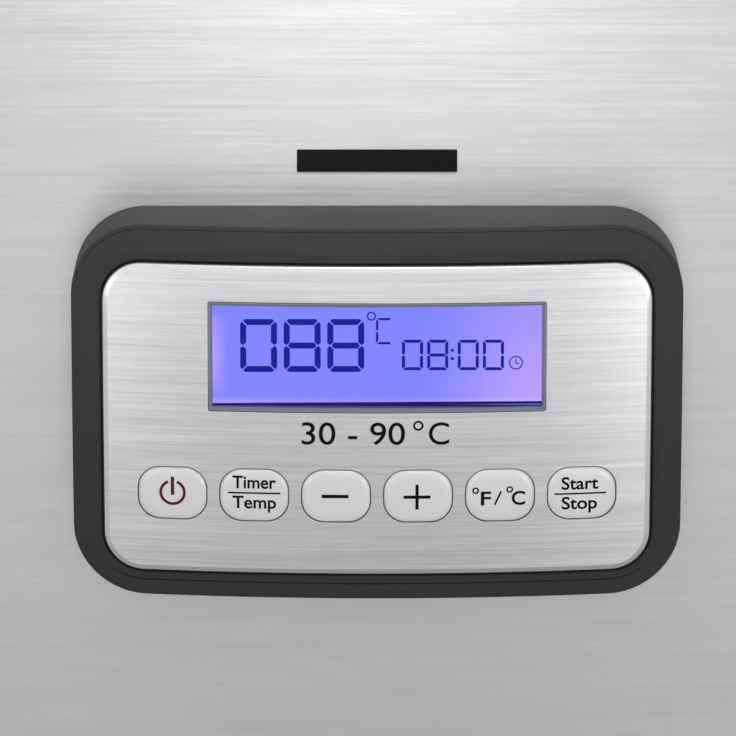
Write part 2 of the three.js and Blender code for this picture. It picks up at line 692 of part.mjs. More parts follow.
[[-1, 'left'], [1, 'right']].forEach(([side, place]) => {
  const fixing = screw(4.6, 2.2, 1.8, 16);
  fixing.translate(side * LID_HANDLE_POST, 0, LID_GLASS_TOP - GLASS_THICKNESS - SEAT_GAP);
  add(lid, `lid_screw_${place}`, fixing, screwSteel);
});

// ---------------------------------------------------------------- control panel: surfaces

/** Radius of the bowed front at a height above the panel's middle. */
function faceRadius(y) {
  return FACE_RADIUS - (y * y) / (2 * CROWN_RADIUS);
}

/** Distance of the bowed front from the wall. */
function faceHeight(x, y) {
  return PANEL_DEPTH - FACE_RADIUS + Math.sqrt(faceRadius(y) ** 2 - x * x);
}

const BARREL_STEPS = 144;

/** A solid barrel whose surface is the bowed front moved out by an offset. */
function barrel(offset) {
  const reach = PANEL_HEIGHT * 0.6;
  const levels = spread(-reach, reach, 5);
  const profile = [
    new THREE.Vector2(0, -reach),
    ...levels.map((y) => new THREE.Vector2(faceRadius(y) + offset, y)),
    new THREE.Vector2(0, reach),
  ];
  return new THREE.LatheGeometry(profile, BARREL_STEPS).translate(0, 0, PANEL_DEPTH - FACE_RADIUS);
}

/** The part of a prism between two offsets of the bowed front. */
function bowedSlab(shape, low, high) {
  const prism = upright(shape, 1, PANEL_DEPTH + 8);
  return cut(common(prism, barrel(high)), barrel(low));
}

const PANEL_FACETS = { arc: PANEL_ARC, alongX: 6, alongY: 2 };

/** How much rounder the panel's outer edge is at a height: 1 along the top and sides, more underneath. */
function edgeRoll(y) {
  const start = -PANEL_HEIGHT / 4;
  const t = Math.min(Math.max((start - y) / (PANEL_HEIGHT / 2 + start), 0), 1);
  return 1 + (UNDER_ROLL - 1) * t * t * (3 - 2 * t);
}

/** Outlines of a rounded rectangle whose middle is at a height, each moved in by the inset it is given. */
function outlines(width, height, radius, middle, facets = PANEL_FACETS) {
  return (inset) => (
    ring(width - 2 * inset, height - 2 * inset, Math.max(radius - inset, 0.3), 0, facets)
      .map((point) => point.setY(point.y + middle))
  );
}

/** The housing's front at an inset: its edge at 0, the plate's opening at BAND, then on under the plate. */
function housingOutline(inset) {
  const share = Math.min(inset / BAND, 1);
  const [width, height, radius, middle] = [
    [PANEL_WIDTH, PLATE_WIDTH + 2 * PLATE_GAP],
    [PANEL_HEIGHT, PLATE_HEIGHT + 2 * PLATE_GAP],
    [PANEL_RADIUS, PLATE_RADIUS + PLATE_GAP],
    [0, PLATE_LEVEL],
  ].map(([edge, opening]) => THREE.MathUtils.lerp(edge, opening, share));
  return outlines(width, height, radius, middle)(Math.max(inset - BAND, 0));
}

/**
 * A band swept round a family of outlines. Its section is a list of { inset, face } points, which follow the
 * bowed front, and { inset, wall } points, which stay level with the wall. A point marked as part of the
 * edge is spread wider and deeper where the edge is rounder.
 */
function bowedBand(outline, section, roll = () => 1) {
  const nudge = 0.2;
  const outer = outline(0);
  const inward = outline(nudge).map((p, k) => p.sub(outer[k]).divideScalar(nudge));
  return loft(section.map(({ inset, face, wall, edge }) => (
    (edge ? outer : outline(inset)).map((point, k) => {
      const spreading = edge ? roll(point.y) : 1;
      const { x, y } = edge ? point.clone().addScaledVector(inward[k], inset * spreading) : point;
      return new THREE.Vector3(x, y, wall ?? faceHeight(x, y) + face * spreading);
    })
  )), true);
}

// ---------------------------------------------------------------- control panel: mouldings

const bossProfile = (top) => [
  [1.3, 0.3], [2.1, 0.3],
  [2.1, BOARD_PLANE + BOARD_THICKNESS + 0.2], [3.7, BOARD_PLANE + BOARD_THICKNESS + 0.2],
  [3.7, top], [1.3, top], [1.3, 0.3],
];

function panelHousing() {
  const shell = bowedBand(housingOutline, [
    { inset: 0, wall: 0 },
    { inset: 0, face: -BAND_EDGE, edge: true },
    { inset: 0.29 * BAND_EDGE, face: -0.29 * BAND_EDGE, edge: true },
    { inset: BAND_EDGE, face: 0, edge: true },
    { inset: BAND - LIP, face: 0 },
    { inset: BAND, face: -0.6 },
    { inset: BAND, face: -PLATE_SINK - 0.4 },
    { inset: BAND + 1.8, face: -PLATE_SINK - 0.4 },
    { inset: BAND + 1.8, face: -PLATE_SINK - 2.2 },
    { inset: SKIRT, face: -PLATE_SINK - 2.2 },
    { inset: SKIRT, wall: 0 },
  ], edgeRoll);
  const bosses = corners.map(([sx, sy]) => {
    const top = faceHeight(PANEL_BOSS_X, PANEL_BOSS_Y) - PLATE_SINK - 1;
    return turned(bossProfile(top), SMALL_STEPS).translate(sx * PANEL_BOSS_X, sy * PANEL_BOSS_Y, 0);
  });
  return fuse(shell, ...bosses);
}

add(panel, 'panel_housing', panelHousing(), blackMoulding);

const keyPlaces = spread(-2.5 * KEY_PITCH, 2.5 * KEY_PITCH, 6);
const WINDOW_GAP = 0.2;

/** A rounded opening in the plate, with a clearance all round what stands in it. */
function plateOpening(width, height, radius, clearance, x, y, arc) {
  return roundedRect(width + 2 * clearance, height + 2 * clearance, radius, x, y, arc);
}

function facePlate() {
  const field = roundedRect(
    PLATE_WIDTH - 2 * PLATE_CHAMFER, PLATE_HEIGHT - 2 * PLATE_CHAMFER, PLATE_RADIUS - PLATE_CHAMFER,
    0, PLATE_LEVEL, PANEL_ARC,
  );
  field.holes.push(plateOpening(DISPLAY_WIDTH, DISPLAY_HEIGHT, 1, WINDOW_GAP, 0, DISPLAY_LEVEL, 1));
  for (const x of keyPlaces) {
    const radius = KEY_RADIUS + KEY_CLEARANCE;
    field.holes.push(plateOpening(KEY_WIDTH, KEY_HEIGHT, radius, KEY_CLEARANCE, x, KEY_LEVEL, KEY_ARC));
  }
  const overlap = 0.6;
  const edge = bowedBand(outlines(PLATE_WIDTH, PLATE_HEIGHT, PLATE_RADIUS, PLATE_LEVEL), [
    { inset: 0, face: -PLATE_SINK },
    { inset: 0, face: -0.4 },
    { inset: PLATE_CHAMFER, face: PLATE_PROUD },
    { inset: PLATE_CHAMFER + overlap, face: PLATE_PROUD },
    { inset: PLATE_CHAMFER + overlap, face: -PLATE_SINK },
  ]);
  return fuse(bowedSlab(field, -PLATE_SINK, PLATE_PROUD), edge);
}

add(panel, 'face_plate', facePlate(), brushedPlate);

// ---------------------------------------------------------------- control panel: display

const DISPLAY_SLOPE = 1.2;
const LENS_WIDTH = DISPLAY_WIDTH - 2 * (DISPLAY_SLOPE + 0.1);
const LENS_HEIGHT = DISPLAY_HEIGHT - 2 * (DISPLAY_SLOPE + 0.1);
const DISPLAY_FACETS = { arc: 1, alongX: 6, alongY: 1 };

const frameOutlines = outlines(DISPLAY_WIDTH, DISPLAY_HEIGHT, 0.8, DISPLAY_LEVEL, DISPLAY_FACETS);
const displayFrame = bowedBand(frameOutlines, [
  { inset: 0, wall: DISPLAY_PLANE + SEAT_GAP },
  { inset: 0, face: PLATE_PROUD },
  { inset: DISPLAY_SLOPE, face: -0.5 },
  { inset: DISPLAY_SLOPE, wall: DISPLAY_PLANE + SEAT_GAP },
]);
add(panel, 'display_frame', displayFrame, greyTrim);

const lensShape = roundedRect(LENS_WIDTH, LENS_HEIGHT, 0.5, 0, DISPLAY_LEVEL, 1);
const lensBlank = upright(lensShape, DISPLAY_PLANE + 0.15, PANEL_DEPTH + 2);
add(panel, 'display_lens', common(lensBlank, barrel(-0.7)), clearLens);

const cellShape = roundedRect(DISPLAY_WIDTH - 0.8, DISPLAY_HEIGHT - 0.8, 0.5, 0, DISPLAY_LEVEL, 1);
add(panel, 'display_glass', upright(cellShape, DISPLAY_PLANE - CELL_THICKNESS, DISPLAY_PLANE), litDisplay);

function backlight() {
  const top = DISPLAY_PLANE - CELL_THICKNESS - SEAT_GAP;
  const foot = BOARD_PLANE + BOARD_THICKNESS + SEAT_GAP;
  const trayShape = roundedRect(DISPLAY_WIDTH + 4, DISPLAY_HEIGHT + 4, 1.5, 0, DISPLAY_LEVEL);
  const tray = upright(trayShape, top - 3.6, top);
  const legs = [-1, 1].flatMap((sx) => [-1, 1].map((sy) => (
    block(sx * 36 - 3, DISPLAY_LEVEL + sy * 10.5 - 2.5, foot, 6, 5, top - foot - 3)
  )));
  return fuse(tray, ...legs);
}

add(panel, 'backlight', backlight(), diffuser);

// ---------------------------------------------------------------- control panel: board and keys

function controlBoard() {
  const outline = roundedRect(132, 80, 12.8, 0, 0, PANEL_ARC);
  for (const [sx, sy] of corners) {
    outline.holes.push(circle(2.4, sx * PANEL_BOSS_X, sy * PANEL_BOSS_Y));
  }
  const board = upright(outline, BOARD_PLANE, BOARD_PLANE + BOARD_THICKNESS);
  const connector = block(GROMMET_X - 6, -9, BOARD_PLANE - 4.6, 12, 6, 5);
  const processor = block(14, -6, BOARD_PLANE - 1.6, 14, 14, 2);
  return fuse(board, connector, processor);
}

add(panel, 'control_board', controlBoard(), boardGreen);

function tactSwitch() {
  const foot = BOARD_PLANE + BOARD_THICKNESS + SEAT_GAP;
  const top = foot + SWITCH_HEIGHT;
  const body = block(-3, -3, foot, 6, 6, SWITCH_HEIGHT - 1);
  const plunger = turned([[0, foot + 1], [1.7, foot + 1], [1.7, top], [0, top]], SMALL_STEPS);
  return fuse(body, plunger);
}

/** A key: a stem above its switch, a collar that the plate holds in, and a domed cap. */
function key(x) {
  const collar = 1;
  const outerEdge = Math.abs(x) + KEY_WIDTH / 2 + collar;
  const collarTop = faceHeight(outerEdge, KEY_LEVEL - KEY_HEIGHT / 2 - collar) - PLATE_SINK - 0.3;
  const stemEnd = BOARD_PLANE + BOARD_THICKNESS + SEAT_GAP + SWITCH_HEIGHT + KEY_TRAVEL + 0.1;
  const outline = (inset, level) => {
    const size = [KEY_WIDTH - 2 * inset, KEY_HEIGHT - 2 * inset, KEY_RADIUS - inset];
    const round = ring(...size, 0, { arc: KEY_ARC });
    return round.map((p) => new THREE.Vector3(p.x + x, p.y + KEY_LEVEL, level(p.x + x, p.y + KEY_LEVEL)));
  };
  const flat = (z) => () => z;
  const bowed = (offset) => (px, py) => faceHeight(px, py) + offset;
  const stem = (z) => ring(4, 4, 1.99, z, { arc: KEY_ARC }).map((p) => p.setX(p.x + x).setY(p.y + KEY_LEVEL));
  return loft([
    stem(stemEnd),
    stem(collarTop - 1),
    outline(-collar, flat(collarTop - 1)),
    outline(-collar, flat(collarTop)),
    outline(0, flat(collarTop)),
    outline(0, bowed(-0.05)),
    outline(0.35, bowed(0.3)),
    outline(1.2, bowed(0.52)),
    outline(3.4, bowed(0.62)),
  ]);
}

const keyNames = ['power', 'timer_temperature', 'minus', 'plus', 'unit', 'start_stop'];
keyPlaces.forEach((x, k) => {
  add(panel, `key_${keyNames[k]}`, key(x), silverKey);
  add(panel, `tact_switch_${keyNames[k]}`, tactSwitch().translate(x, KEY_LEVEL, 0), darkMoulding);
});

// ---------------------------------------------------------------- control panel: fixings and wiring

const PANEL_SCREW_LEVEL = -SHEET - 2 * SEAT_GAP;
for (const [sx, side] of [[-1, 'left'], [1, 'right']]) {
  for (const [sy, row] of [[-1, 'lower'], [1, 'upper']]) {
    const fixing = screw(3, 2, 1, 12).translate(sx * PANEL_BOSS_X, sy * PANEL_BOSS_Y, PANEL_SCREW_LEVEL);
    add(panel, `panel_screw_${row}_${side}`, fixing, screwSteel);
  }
}

const groove = SHEET + 2 * SEAT_GAP;
const grommet = turned([
  [2.4, -groove - 1.5], [7.6, -groove - 1.5], [7.6, -groove], [5.7, -groove], [5.7, 0], [7.6, 0],
  [7.6, 1.5], [2.4, 1.5], [2.4, -groove - 1.5],
], 16);
grommet.rotateX(Math.PI / 2).translate(GROMMET_X, -CASE_DEPTH / 2 - SEAT_GAP, GROMMET_LEVEL);
add(housing, 'cable_grommet', grommet, rubber);

const wall = -CASE_DEPTH / 2;
const harnessRoute = [
  [GROMMET_X, wall - 3.1, GROMMET_LEVEL], [GROMMET_X, wall + 5, GROMMET_LEVEL],
  [GROMMET_X - 2, wall + 10, GROMMET_LEVEL - 8], [GROMMET_X - 10, wall + 11, GROMMET_LEVEL - 34],
  [GROMMET_X - 26, wall + 16, 58], [GROMMET_X - 38, wall + 44, 42], [-75, -48, 33], [-75, -24, 33],
  [-75, 6, 30],
];
add(housing, 'panel_harness', tube(harnessRoute, 2, 22), rubber);

export default bath;
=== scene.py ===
"""Looks of a countertop sous vide bath: steel sleeve, stirred tank, lift-off lid and bowed control panel.

The bath stands on z = 0 and its panel faces -Y. Shapes are drawn in millimetres, on the boxes of the CAD
nodes that they stand for, and become metres where their mesh is made.
"""

import logging
import math
from abc import ABC, abstractmethod
from collections.abc import Callable, Sequence
from dataclasses import dataclass, field
from enum import Enum
from functools import cache, partial
from typing import Any

import bmesh
import bpy
import numpy as np
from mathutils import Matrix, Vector
from mathutils.geometry import delaunay_2d_cdt


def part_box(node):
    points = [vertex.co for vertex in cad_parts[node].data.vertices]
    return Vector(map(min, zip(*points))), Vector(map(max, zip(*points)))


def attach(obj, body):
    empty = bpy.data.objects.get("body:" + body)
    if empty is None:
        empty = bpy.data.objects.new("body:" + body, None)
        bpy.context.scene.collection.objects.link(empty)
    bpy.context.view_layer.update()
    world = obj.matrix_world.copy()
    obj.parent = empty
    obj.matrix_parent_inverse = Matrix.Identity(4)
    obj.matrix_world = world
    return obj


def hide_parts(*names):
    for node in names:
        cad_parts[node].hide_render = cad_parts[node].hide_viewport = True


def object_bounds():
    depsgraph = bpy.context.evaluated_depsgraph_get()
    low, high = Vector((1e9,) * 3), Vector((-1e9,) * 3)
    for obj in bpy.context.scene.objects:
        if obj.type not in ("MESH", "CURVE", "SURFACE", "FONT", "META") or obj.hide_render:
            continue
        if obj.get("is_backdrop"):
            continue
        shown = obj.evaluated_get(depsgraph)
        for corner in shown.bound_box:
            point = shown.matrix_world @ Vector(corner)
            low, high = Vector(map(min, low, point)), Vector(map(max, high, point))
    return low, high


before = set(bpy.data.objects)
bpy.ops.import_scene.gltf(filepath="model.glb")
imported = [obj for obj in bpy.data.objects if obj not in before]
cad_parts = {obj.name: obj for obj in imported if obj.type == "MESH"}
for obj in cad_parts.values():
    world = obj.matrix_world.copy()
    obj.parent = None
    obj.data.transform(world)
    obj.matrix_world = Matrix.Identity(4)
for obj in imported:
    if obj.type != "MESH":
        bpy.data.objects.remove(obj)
log = logging.getLogger("bath")

MM = 0.001
MERGE_REACH = 0.002 * MM
SHARP_EDGE = math.radians(34)
PLAN_ARC = 16
SHEET_MAP = "sheet"
WALL_MARK = "wall"
TURN_MARK = "turn"
SIDES = (-1, 1)

Object = bpy.types.Object
Material = bpy.types.Material
Socket = bpy.types.NodeSocket
Tree = bpy.types.NodeTree
Points = np.ndarray
Pair = tuple[float, float]
Place = Colour = tuple[float, float, float]
Rounded = tuple[float, float, float]  # width, height and corner radius
Triangle = tuple[int, int, int]
Section = Sequence[Sequence[float]]


# ---------------- outlines and sections


@dataclass(frozen=True)
class Extent:
    """The box round a CAD node at rest, in millimetres."""

    low: Points
    high: Points

    @classmethod
    def of(cls, node: str) -> "Extent":
        """The extent of the named CAD node."""
        low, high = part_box(node)
        return cls(np.array(low) / MM, np.array(high) / MM)

    @property
    def size(self) -> Points:
        """Width, depth and height."""
        return self.high - self.low

    @property
    def centre(self) -> Points:
        """The middle of the box."""
        return (self.low + self.high) / 2


def spokes(angles: float | Points) -> Points:
    """Unit vectors at angles from the first axis."""
    return np.stack((np.cos(angles), np.sin(angles)), axis=-1)


def circle(radius: float, centre: Sequence[float] = (0, 0), steps: int = 48) -> Points:
    """Points round a circle."""
    return spokes(np.arange(steps) * math.tau / steps) * radius + np.array(centre)


def softened(line: Section, cut: float | Sequence[float], steps: int = 4, closed: bool = False) -> Points:
    """A line of points with its corners eased into short curves.

    Args:
        line: The points, whose first and last columns give their distances.
        cut: How far from each corner its curve starts, for all corners or for each.
        steps: Steps in each curve.
        closed: Whether the last point joins the first.

    Returns:
        The eased line, with as many columns as the points have.
    """
    points = np.array(line, float)
    count = len(points)
    cuts = np.broadcast_to(cut, count)
    shares = np.linspace(0, 1, steps + 1)[:, None]
    eased = []
    for k, corner in enumerate(points):
        if cuts[k] == 0 or (not closed and k in (0, count - 1)):
            eased.append(corner[None])
            continue
        sides = [points[k - 1] - corner, points[(k + 1) % count] - corner]
        ends = [corner + side * min(0.5, cuts[k] / math.hypot(side[0], side[-1])) for side in sides]
        curve = (1 - shares) ** 2 * ends[0] + 2 * shares * (1 - shares) * corner + shares**2 * ends[1]
        eased.append(curve)
    return np.concatenate(eased)


def lifted(outline: Points, level: float | Points) -> Points:
    """A flat outline placed at a level, or each of its points at its own."""
    return np.column_stack((outline, np.broadcast_to(level, len(outline))))


def smooth(share: float | Points) -> float | Points:
    """0 up to a share of 0, 1 from 1 on, and smooth between them."""
    t = np.clip(share, 0, 1)
    return t * t * (3 - 2 * t)


def distinct(loop: Points) -> Points:
    """Which points of a loop aren't the same as the one before."""
    return np.linalg.norm(loop - np.roll(loop, 1, axis=0), axis=1) > 1e-6


def within(points: Points, loop: Points) -> Points:
    """Which of the points lie inside a closed loop.

    Args:
        points: Points, two columns wide.
        loop: The loop's points.

    Returns:
        True or false for each point.
    """
    x, y = points[:, 0][:, None], points[:, 1][:, None]
    x0, y0 = loop.T
    x1, y1 = np.roll(x0, -1), np.roll(y0, -1)
    spans = (y0 > y) != (y1 > y)
    rise = np.where(y1 == y0, 1.0, y1 - y0)
    crossing = x0 + (y - y0) * (x1 - x0) / rise
    return (spans & (x < crossing)).sum(axis=1) % 2 == 1


def clearance(points: Points, loop: Points) -> Points:
    """Distance from each point to the nearest side of a closed loop.

    Args:
        points: Points, two columns wide.
        loop: The loop's points.

    Returns:
        The distances.
    """
    nearest = np.full(len(points), np.inf)
    for start, end in zip(loop, np.roll(loop, -1, axis=0)):
        side = end - start
        share = np.clip(((points - start) @ side) / max(side @ side, 1e-12), 0, 1)
        nearest = np.minimum(nearest, np.linalg.norm(points - start - share[:, None] * side, axis=1))
    return nearest


def seeds(outline: Points, holes: Sequence[Points], spacing: float) -> Points:
    """Evenly spread points inside an outline and clear of its edges, for a face that will be bent.

    Args:
        outline: The outer loop.
        holes: Loops to keep clear of.
        spacing: Distance between the points.

    Returns:
        The points.
    """
    low, high = outline.min(axis=0), outline.max(axis=0)
    columns = np.arange(low[0] + spacing / 2, high[0], spacing)
    rows = np.arange(low[1] + spacing / 2, high[1], spacing)
    grid = np.array([(x, y) for x in columns for y in rows])
    grid = grid[within(grid, outline)]
    for loop in (outline, *holes):
        grid = grid[clearance(grid, loop) > spacing / 2]
    for hole in holes:
        grid = grid[~within(grid, hole)]
    return grid


@dataclass(frozen=True)
class Outline:
    """The rounded outline of a plate, an opening or a moulding, with its steps in each corner and along
    the sides that run with each axis. With a radius of half its sizes it is round.
    """

    width: float
    height: float
    radius: float
    centre: Sequence[float] = (0.0, 0.0)
    arc: int = 8
    along: tuple[int, int] = (1, 1)

    @classmethod
    def round(cls, radius: float, centre: Sequence[float] = (0.0, 0.0)) -> "Outline":
        """A round outline."""
        return cls(2 * radius, 2 * radius, radius, centre, 10)

    @classmethod
    def plan(cls, node: Extent, radius: float, margin: float = 0.0) -> "Outline":
        """The plan of a moulding: that of a CAD node's box, larger by a margin."""
        return cls(node.size[0] + 2 * margin, node.size[1] + 2 * margin, radius, node.centre[:2], PLAN_ARC)

    def at(self, inset: float, level: float) -> tuple[float, float, float, float]:
        """A point of a moulding's section, for `swept`: how far inside the plan it lies, and its level."""
        return self.width / 2 - inset, self.height / 2 - inset, self.radius - inset, level

    def loop(self, inset: float = 0.0, sharpest: float = 0.0) -> Points:
        """Its points, counter-clockwise from the foot of its lower right corner.

        Args:
            inset: How far they are moved in.
            sharpest: The least radius of a corner.

        Returns:
            As many points at any inset, two columns wide.
        """
        radius = max(self.radius - inset, sharpest)
        x, y = (self.width - 2 * inset) / 2 - radius, (self.height - 2 * inset) / 2 - radius
        turns = np.linspace(0, 1, self.arc + 1)
        rows = [
            np.array((cx, cy)) + radius * spokes((quarter + turns) * math.pi / 2)
            for cx, cy, quarter in ((x, -y, 3), (x, y, 0), (-x, y, 1), (-x, -y, 2))
        ]
        points = []
        for number, row in enumerate(rows):
            steps = self.along[(number + 1) % 2]
            side = rows[(number + 1) % 4][0] - row[-1]
            points += [row, row[-1] + side * np.arange(1, steps)[:, None] / steps]
        return np.concatenate(points) + np.array(self.centre)

    def outline(self, inset: float = 0.0) -> Points:
        """Its points, moved in by a distance, with none twice."""
        loop = self.loop(inset)
        return loop[distinct(loop)]

    def rings(self, section: Section, sharpest: float = 0.0) -> list[Points]:
        """The rings of a wall that follows it, from how far in each of them lies and its level."""
        loops = [self.loop(inset, sharpest) for inset, _ in section]
        return [lifted(loop[distinct(loops[0])], level) for loop, (_, level) in zip(loops, section)]


def swept(
    section: Section, centre: Points, cut: float | Sequence[float], steps: int, closed: bool = False
) -> list[Points]:
    """Rings of a moulding from the half width, half depth, corner radius and level all along its section."""
    eased, centre = softened(section, cut, steps, closed), centre[:2]
    return [lifted(Outline(2 * x, 2 * y, radius, centre, PLAN_ARC).loop(), z) for x, y, radius, z in eased]


def at_corners(middle: Points, reach: Pair, level: float = 0.0) -> list[Place]:
    """Four places round a middle."""
    return [(middle[0] + sx * reach[0], middle[1] + sy * reach[1], level) for sx in SIDES for sy in SIDES]


# ---------------- meshes


@dataclass
class Skin:
    """Surfaces under construction, in millimetres, that close on each other once their doubles are merged.

    A flat drawing keeps its doubles until it has been bent on to the control panel. Its points are marked 1
    where they are levelled from the wall behind the panel and 0 where they are levelled from its front.
    """

    flat: bool = False
    points: list[Points] = field(default_factory=list)
    faces: list[tuple[int, ...]] = field(default_factory=list)
    marks: list[Points] = field(default_factory=list)
    count: int = 0

    def add(self, points: Points, faces: Sequence[tuple[int, ...]], wall: float | Points = 0.0) -> None:
        """Adds faces over new points.

        Args:
            points: The points, three columns wide.
            faces: Faces, counted within these points.
            wall: The wall mark of the points.
        """
        self.points.append(points)
        self.faces += [tuple(k + self.count for k in face) for face in faces]
        self.marks.append(np.broadcast_to(wall, len(points)).astype(np.float32))
        self.count += len(points)

    def loft(
        self, rings: Sequence[Points], joined: bool = False, capped: bool = True, walls: Sequence[float] = ()
    ) -> None:
        """Skins rings of equal length.

        Args:
            rings: The rings, in order.
            joined: Whether the last ring joins the first.
            capped: Whether the first and last rings are closed.
            walls: The wall mark of each ring.
        """
        size, total = len(rings[0]), len(rings)
        near = np.arange(size)
        far = np.roll(near, -1)
        faces: list[tuple[int, ...]] = []
        for k in range(total if joined else total - 1):
            low, high = k * size, (k + 1) % total * size
            faces += [(low + i, low + j, high + j, high + i) for i, j in zip(near.tolist(), far.tolist())]
        if capped and not joined:
            faces += [tuple(range(size))[::-1], tuple(range((total - 1) * size, total * size))]
        self.add(np.concatenate(rings), faces, np.repeat(walls, size) if len(walls) else 0.0)

    def face(
        self, outline: Points, holes: Sequence[Points] = (), level: float = 0.0,
        inner: Sequence[Points] = (), rules: Sequence[Points] = (), wall: float = 0.0,
    ) -> None:
        """A filled face.

        Args:
            outline: Its outer loop.
            holes: Loops to leave open.
            level: Its level.
            inner: Points to use inside.
            rules: Straight lines, each from end to end, that no triangle crosses.
            wall: Its wall mark.
        """
        vertices: list[Vector] = []
        edges: list[tuple[int, int]] = []
        for line in (outline, *holes, *rules):
            first, count = len(vertices), len(line)
            vertices += [Vector(point) for point in line]
            edges += [(first + k, first + k + 1) for k in range(count - 1)]
            if count > 2:
                edges.append((first + count - 1, first))
        vertices += [Vector(point) for point in inner]
        found = delaunay_2d_cdt(vertices, edges, [], 0, 1e-7)
        points, triangles = np.array([tuple(v) for v in found[0]]), np.array([tuple(f) for f in found[2]])
        middles = points[triangles].mean(axis=1)
        kept = within(middles, outline)
        for hole in holes:
            kept &= ~within(middles, hole)
        self.add(lifted(points, level), triangles[kept].tolist(), wall)

    def tunnel(self, opening: Outline, high: float, low: float, ease: float) -> None:
        """The wall of an opening between two levels, with eased edges."""
        section = softened([(-ease, high), (0, high), (0, low), (-ease, low)], ease, 3)
        self.loft(opening.rings(section), capped=False)

    def slab(self, outer: Outline, openings: Sequence[Outline], high: float, low: float, ease: float) -> None:
        """A flat plate with openings.

        Args:
            outer: Its outline.
            openings: Its openings.
            high: The level of its upper face.
            low: The level of its lower face.
            ease: How far its edges are eased.
        """
        holes = [opening.outline(-ease) for opening in openings]
        for level in (high, low):
            self.face(outer.outline(ease), holes, level)
        section = softened([(ease, high), (0, high), (0, low), (ease, low)], ease, 4)
        self.loft(outer.rings(section), capped=False)
        for opening in openings:
            self.tunnel(opening, high, low, ease)

    def turned(self, profile: Section, centre: Sequence[float] = (0, 0), steps: int = 48) -> None:
        """A profile of radius and height turned about an upright axis, closed at both ends."""
        self.loft([lifted(circle(max(radius, 1e-3), centre, steps), z) for radius, z in profile])

    def object(self, name: str, place: Callable[[Points], Points] | None = None) -> Object:
        """The finished piece.

        Args:
            name: The piece's name.
            place: Where its points go in the row frame, if they aren't there yet.

        Returns:
            A mesh object, closed and with its faces outwards unless it is a flat drawing. The drawing's own
            two axes, in metres, stay as a UV map that a grain can follow.
        """
        points = np.concatenate(self.points)
        made = flat_object(name, points if place is None else place(points), self.faces)
        mesh = made.data
        corners = np.zeros(len(mesh.loops), int)
        mesh.loops.foreach_get("vertex_index", corners)
        sheet = mesh.uv_layers.new(name=SHEET_MAP)
        sheet.data.foreach_set("uv", (points[corners, :2] * MM).astype(np.float32).ravel())
        if not self.flat:
            return closed(made)
        marks = mesh.attributes.new(WALL_MARK, "FLOAT", "POINT")
        marks.data.foreach_set("value", np.concatenate(self.marks))
        return made


def footed(rings: Sequence[Points]) -> list[float]:
    """Wall marks for rings of which the first and the last are levelled from the wall."""
    return [1.0, *[0.0] * (len(rings) - 2), 1.0]


def linked(name: str, data: bpy.types.ID) -> Object:
    """Data as an object of the scene.

    Args:
        name: The name of both.
        data: A mesh, a text, a light or a camera.

    Returns:
        The object.
    """
    data.name = name
    made = bpy.data.objects.new(name, data)
    bpy.context.scene.collection.objects.link(made)
    return made


def flat_object(name: str, points: Points, faces: Sequence[tuple[int, ...]]) -> Object:
    """A mesh object from points in millimetres, as they are.

    Args:
        name: Its name.
        points: Its points.
        faces: Its faces.

    Returns:
        The object.
    """
    mesh = bpy.data.meshes.new(name)
    mesh.from_pydata((points * MM).tolist(), [], list(faces))
    return linked(name, mesh)


def closed(made: Object) -> Object:
    """Merges doubles, turns the faces outwards and shades a piece smooth up to its sharp edges.

    Args:
        made: The piece.

    Returns:
        The same piece.
    """
    mesh, work = made.data, bmesh.new()
    work.from_mesh(mesh)
    bmesh.ops.remove_doubles(work, verts=work.verts, dist=MERGE_REACH)
    bmesh.ops.dissolve_degenerate(work, edges=work.edges, dist=MERGE_REACH / 4)
    bmesh.ops.recalc_face_normals(work, faces=work.faces)
    work.to_mesh(mesh)
    work.free()
    if WALL_MARK in mesh.attributes:
        mesh.attributes.remove(mesh.attributes[WALL_MARK])
    mesh.shade_smooth()
    mesh.set_sharp_from_angle(angle=SHARP_EDGE)
    return made


def joined(name: str, pieces: Sequence[Object]) -> Object:
    """Several pieces as one.

    Args:
        name: The name of the whole.
        pieces: The pieces. They are removed.

    Returns:
        The whole, with its own mesh.
    """
    work = bmesh.new()
    for piece in pieces:
        work.from_mesh(piece.data)
    mesh = pieces[0].data.copy()
    work.to_mesh(mesh)
    work.free()
    for piece in pieces:
        bpy.data.objects.remove(piece)
    return linked(name, mesh)


# ---------------- node trees


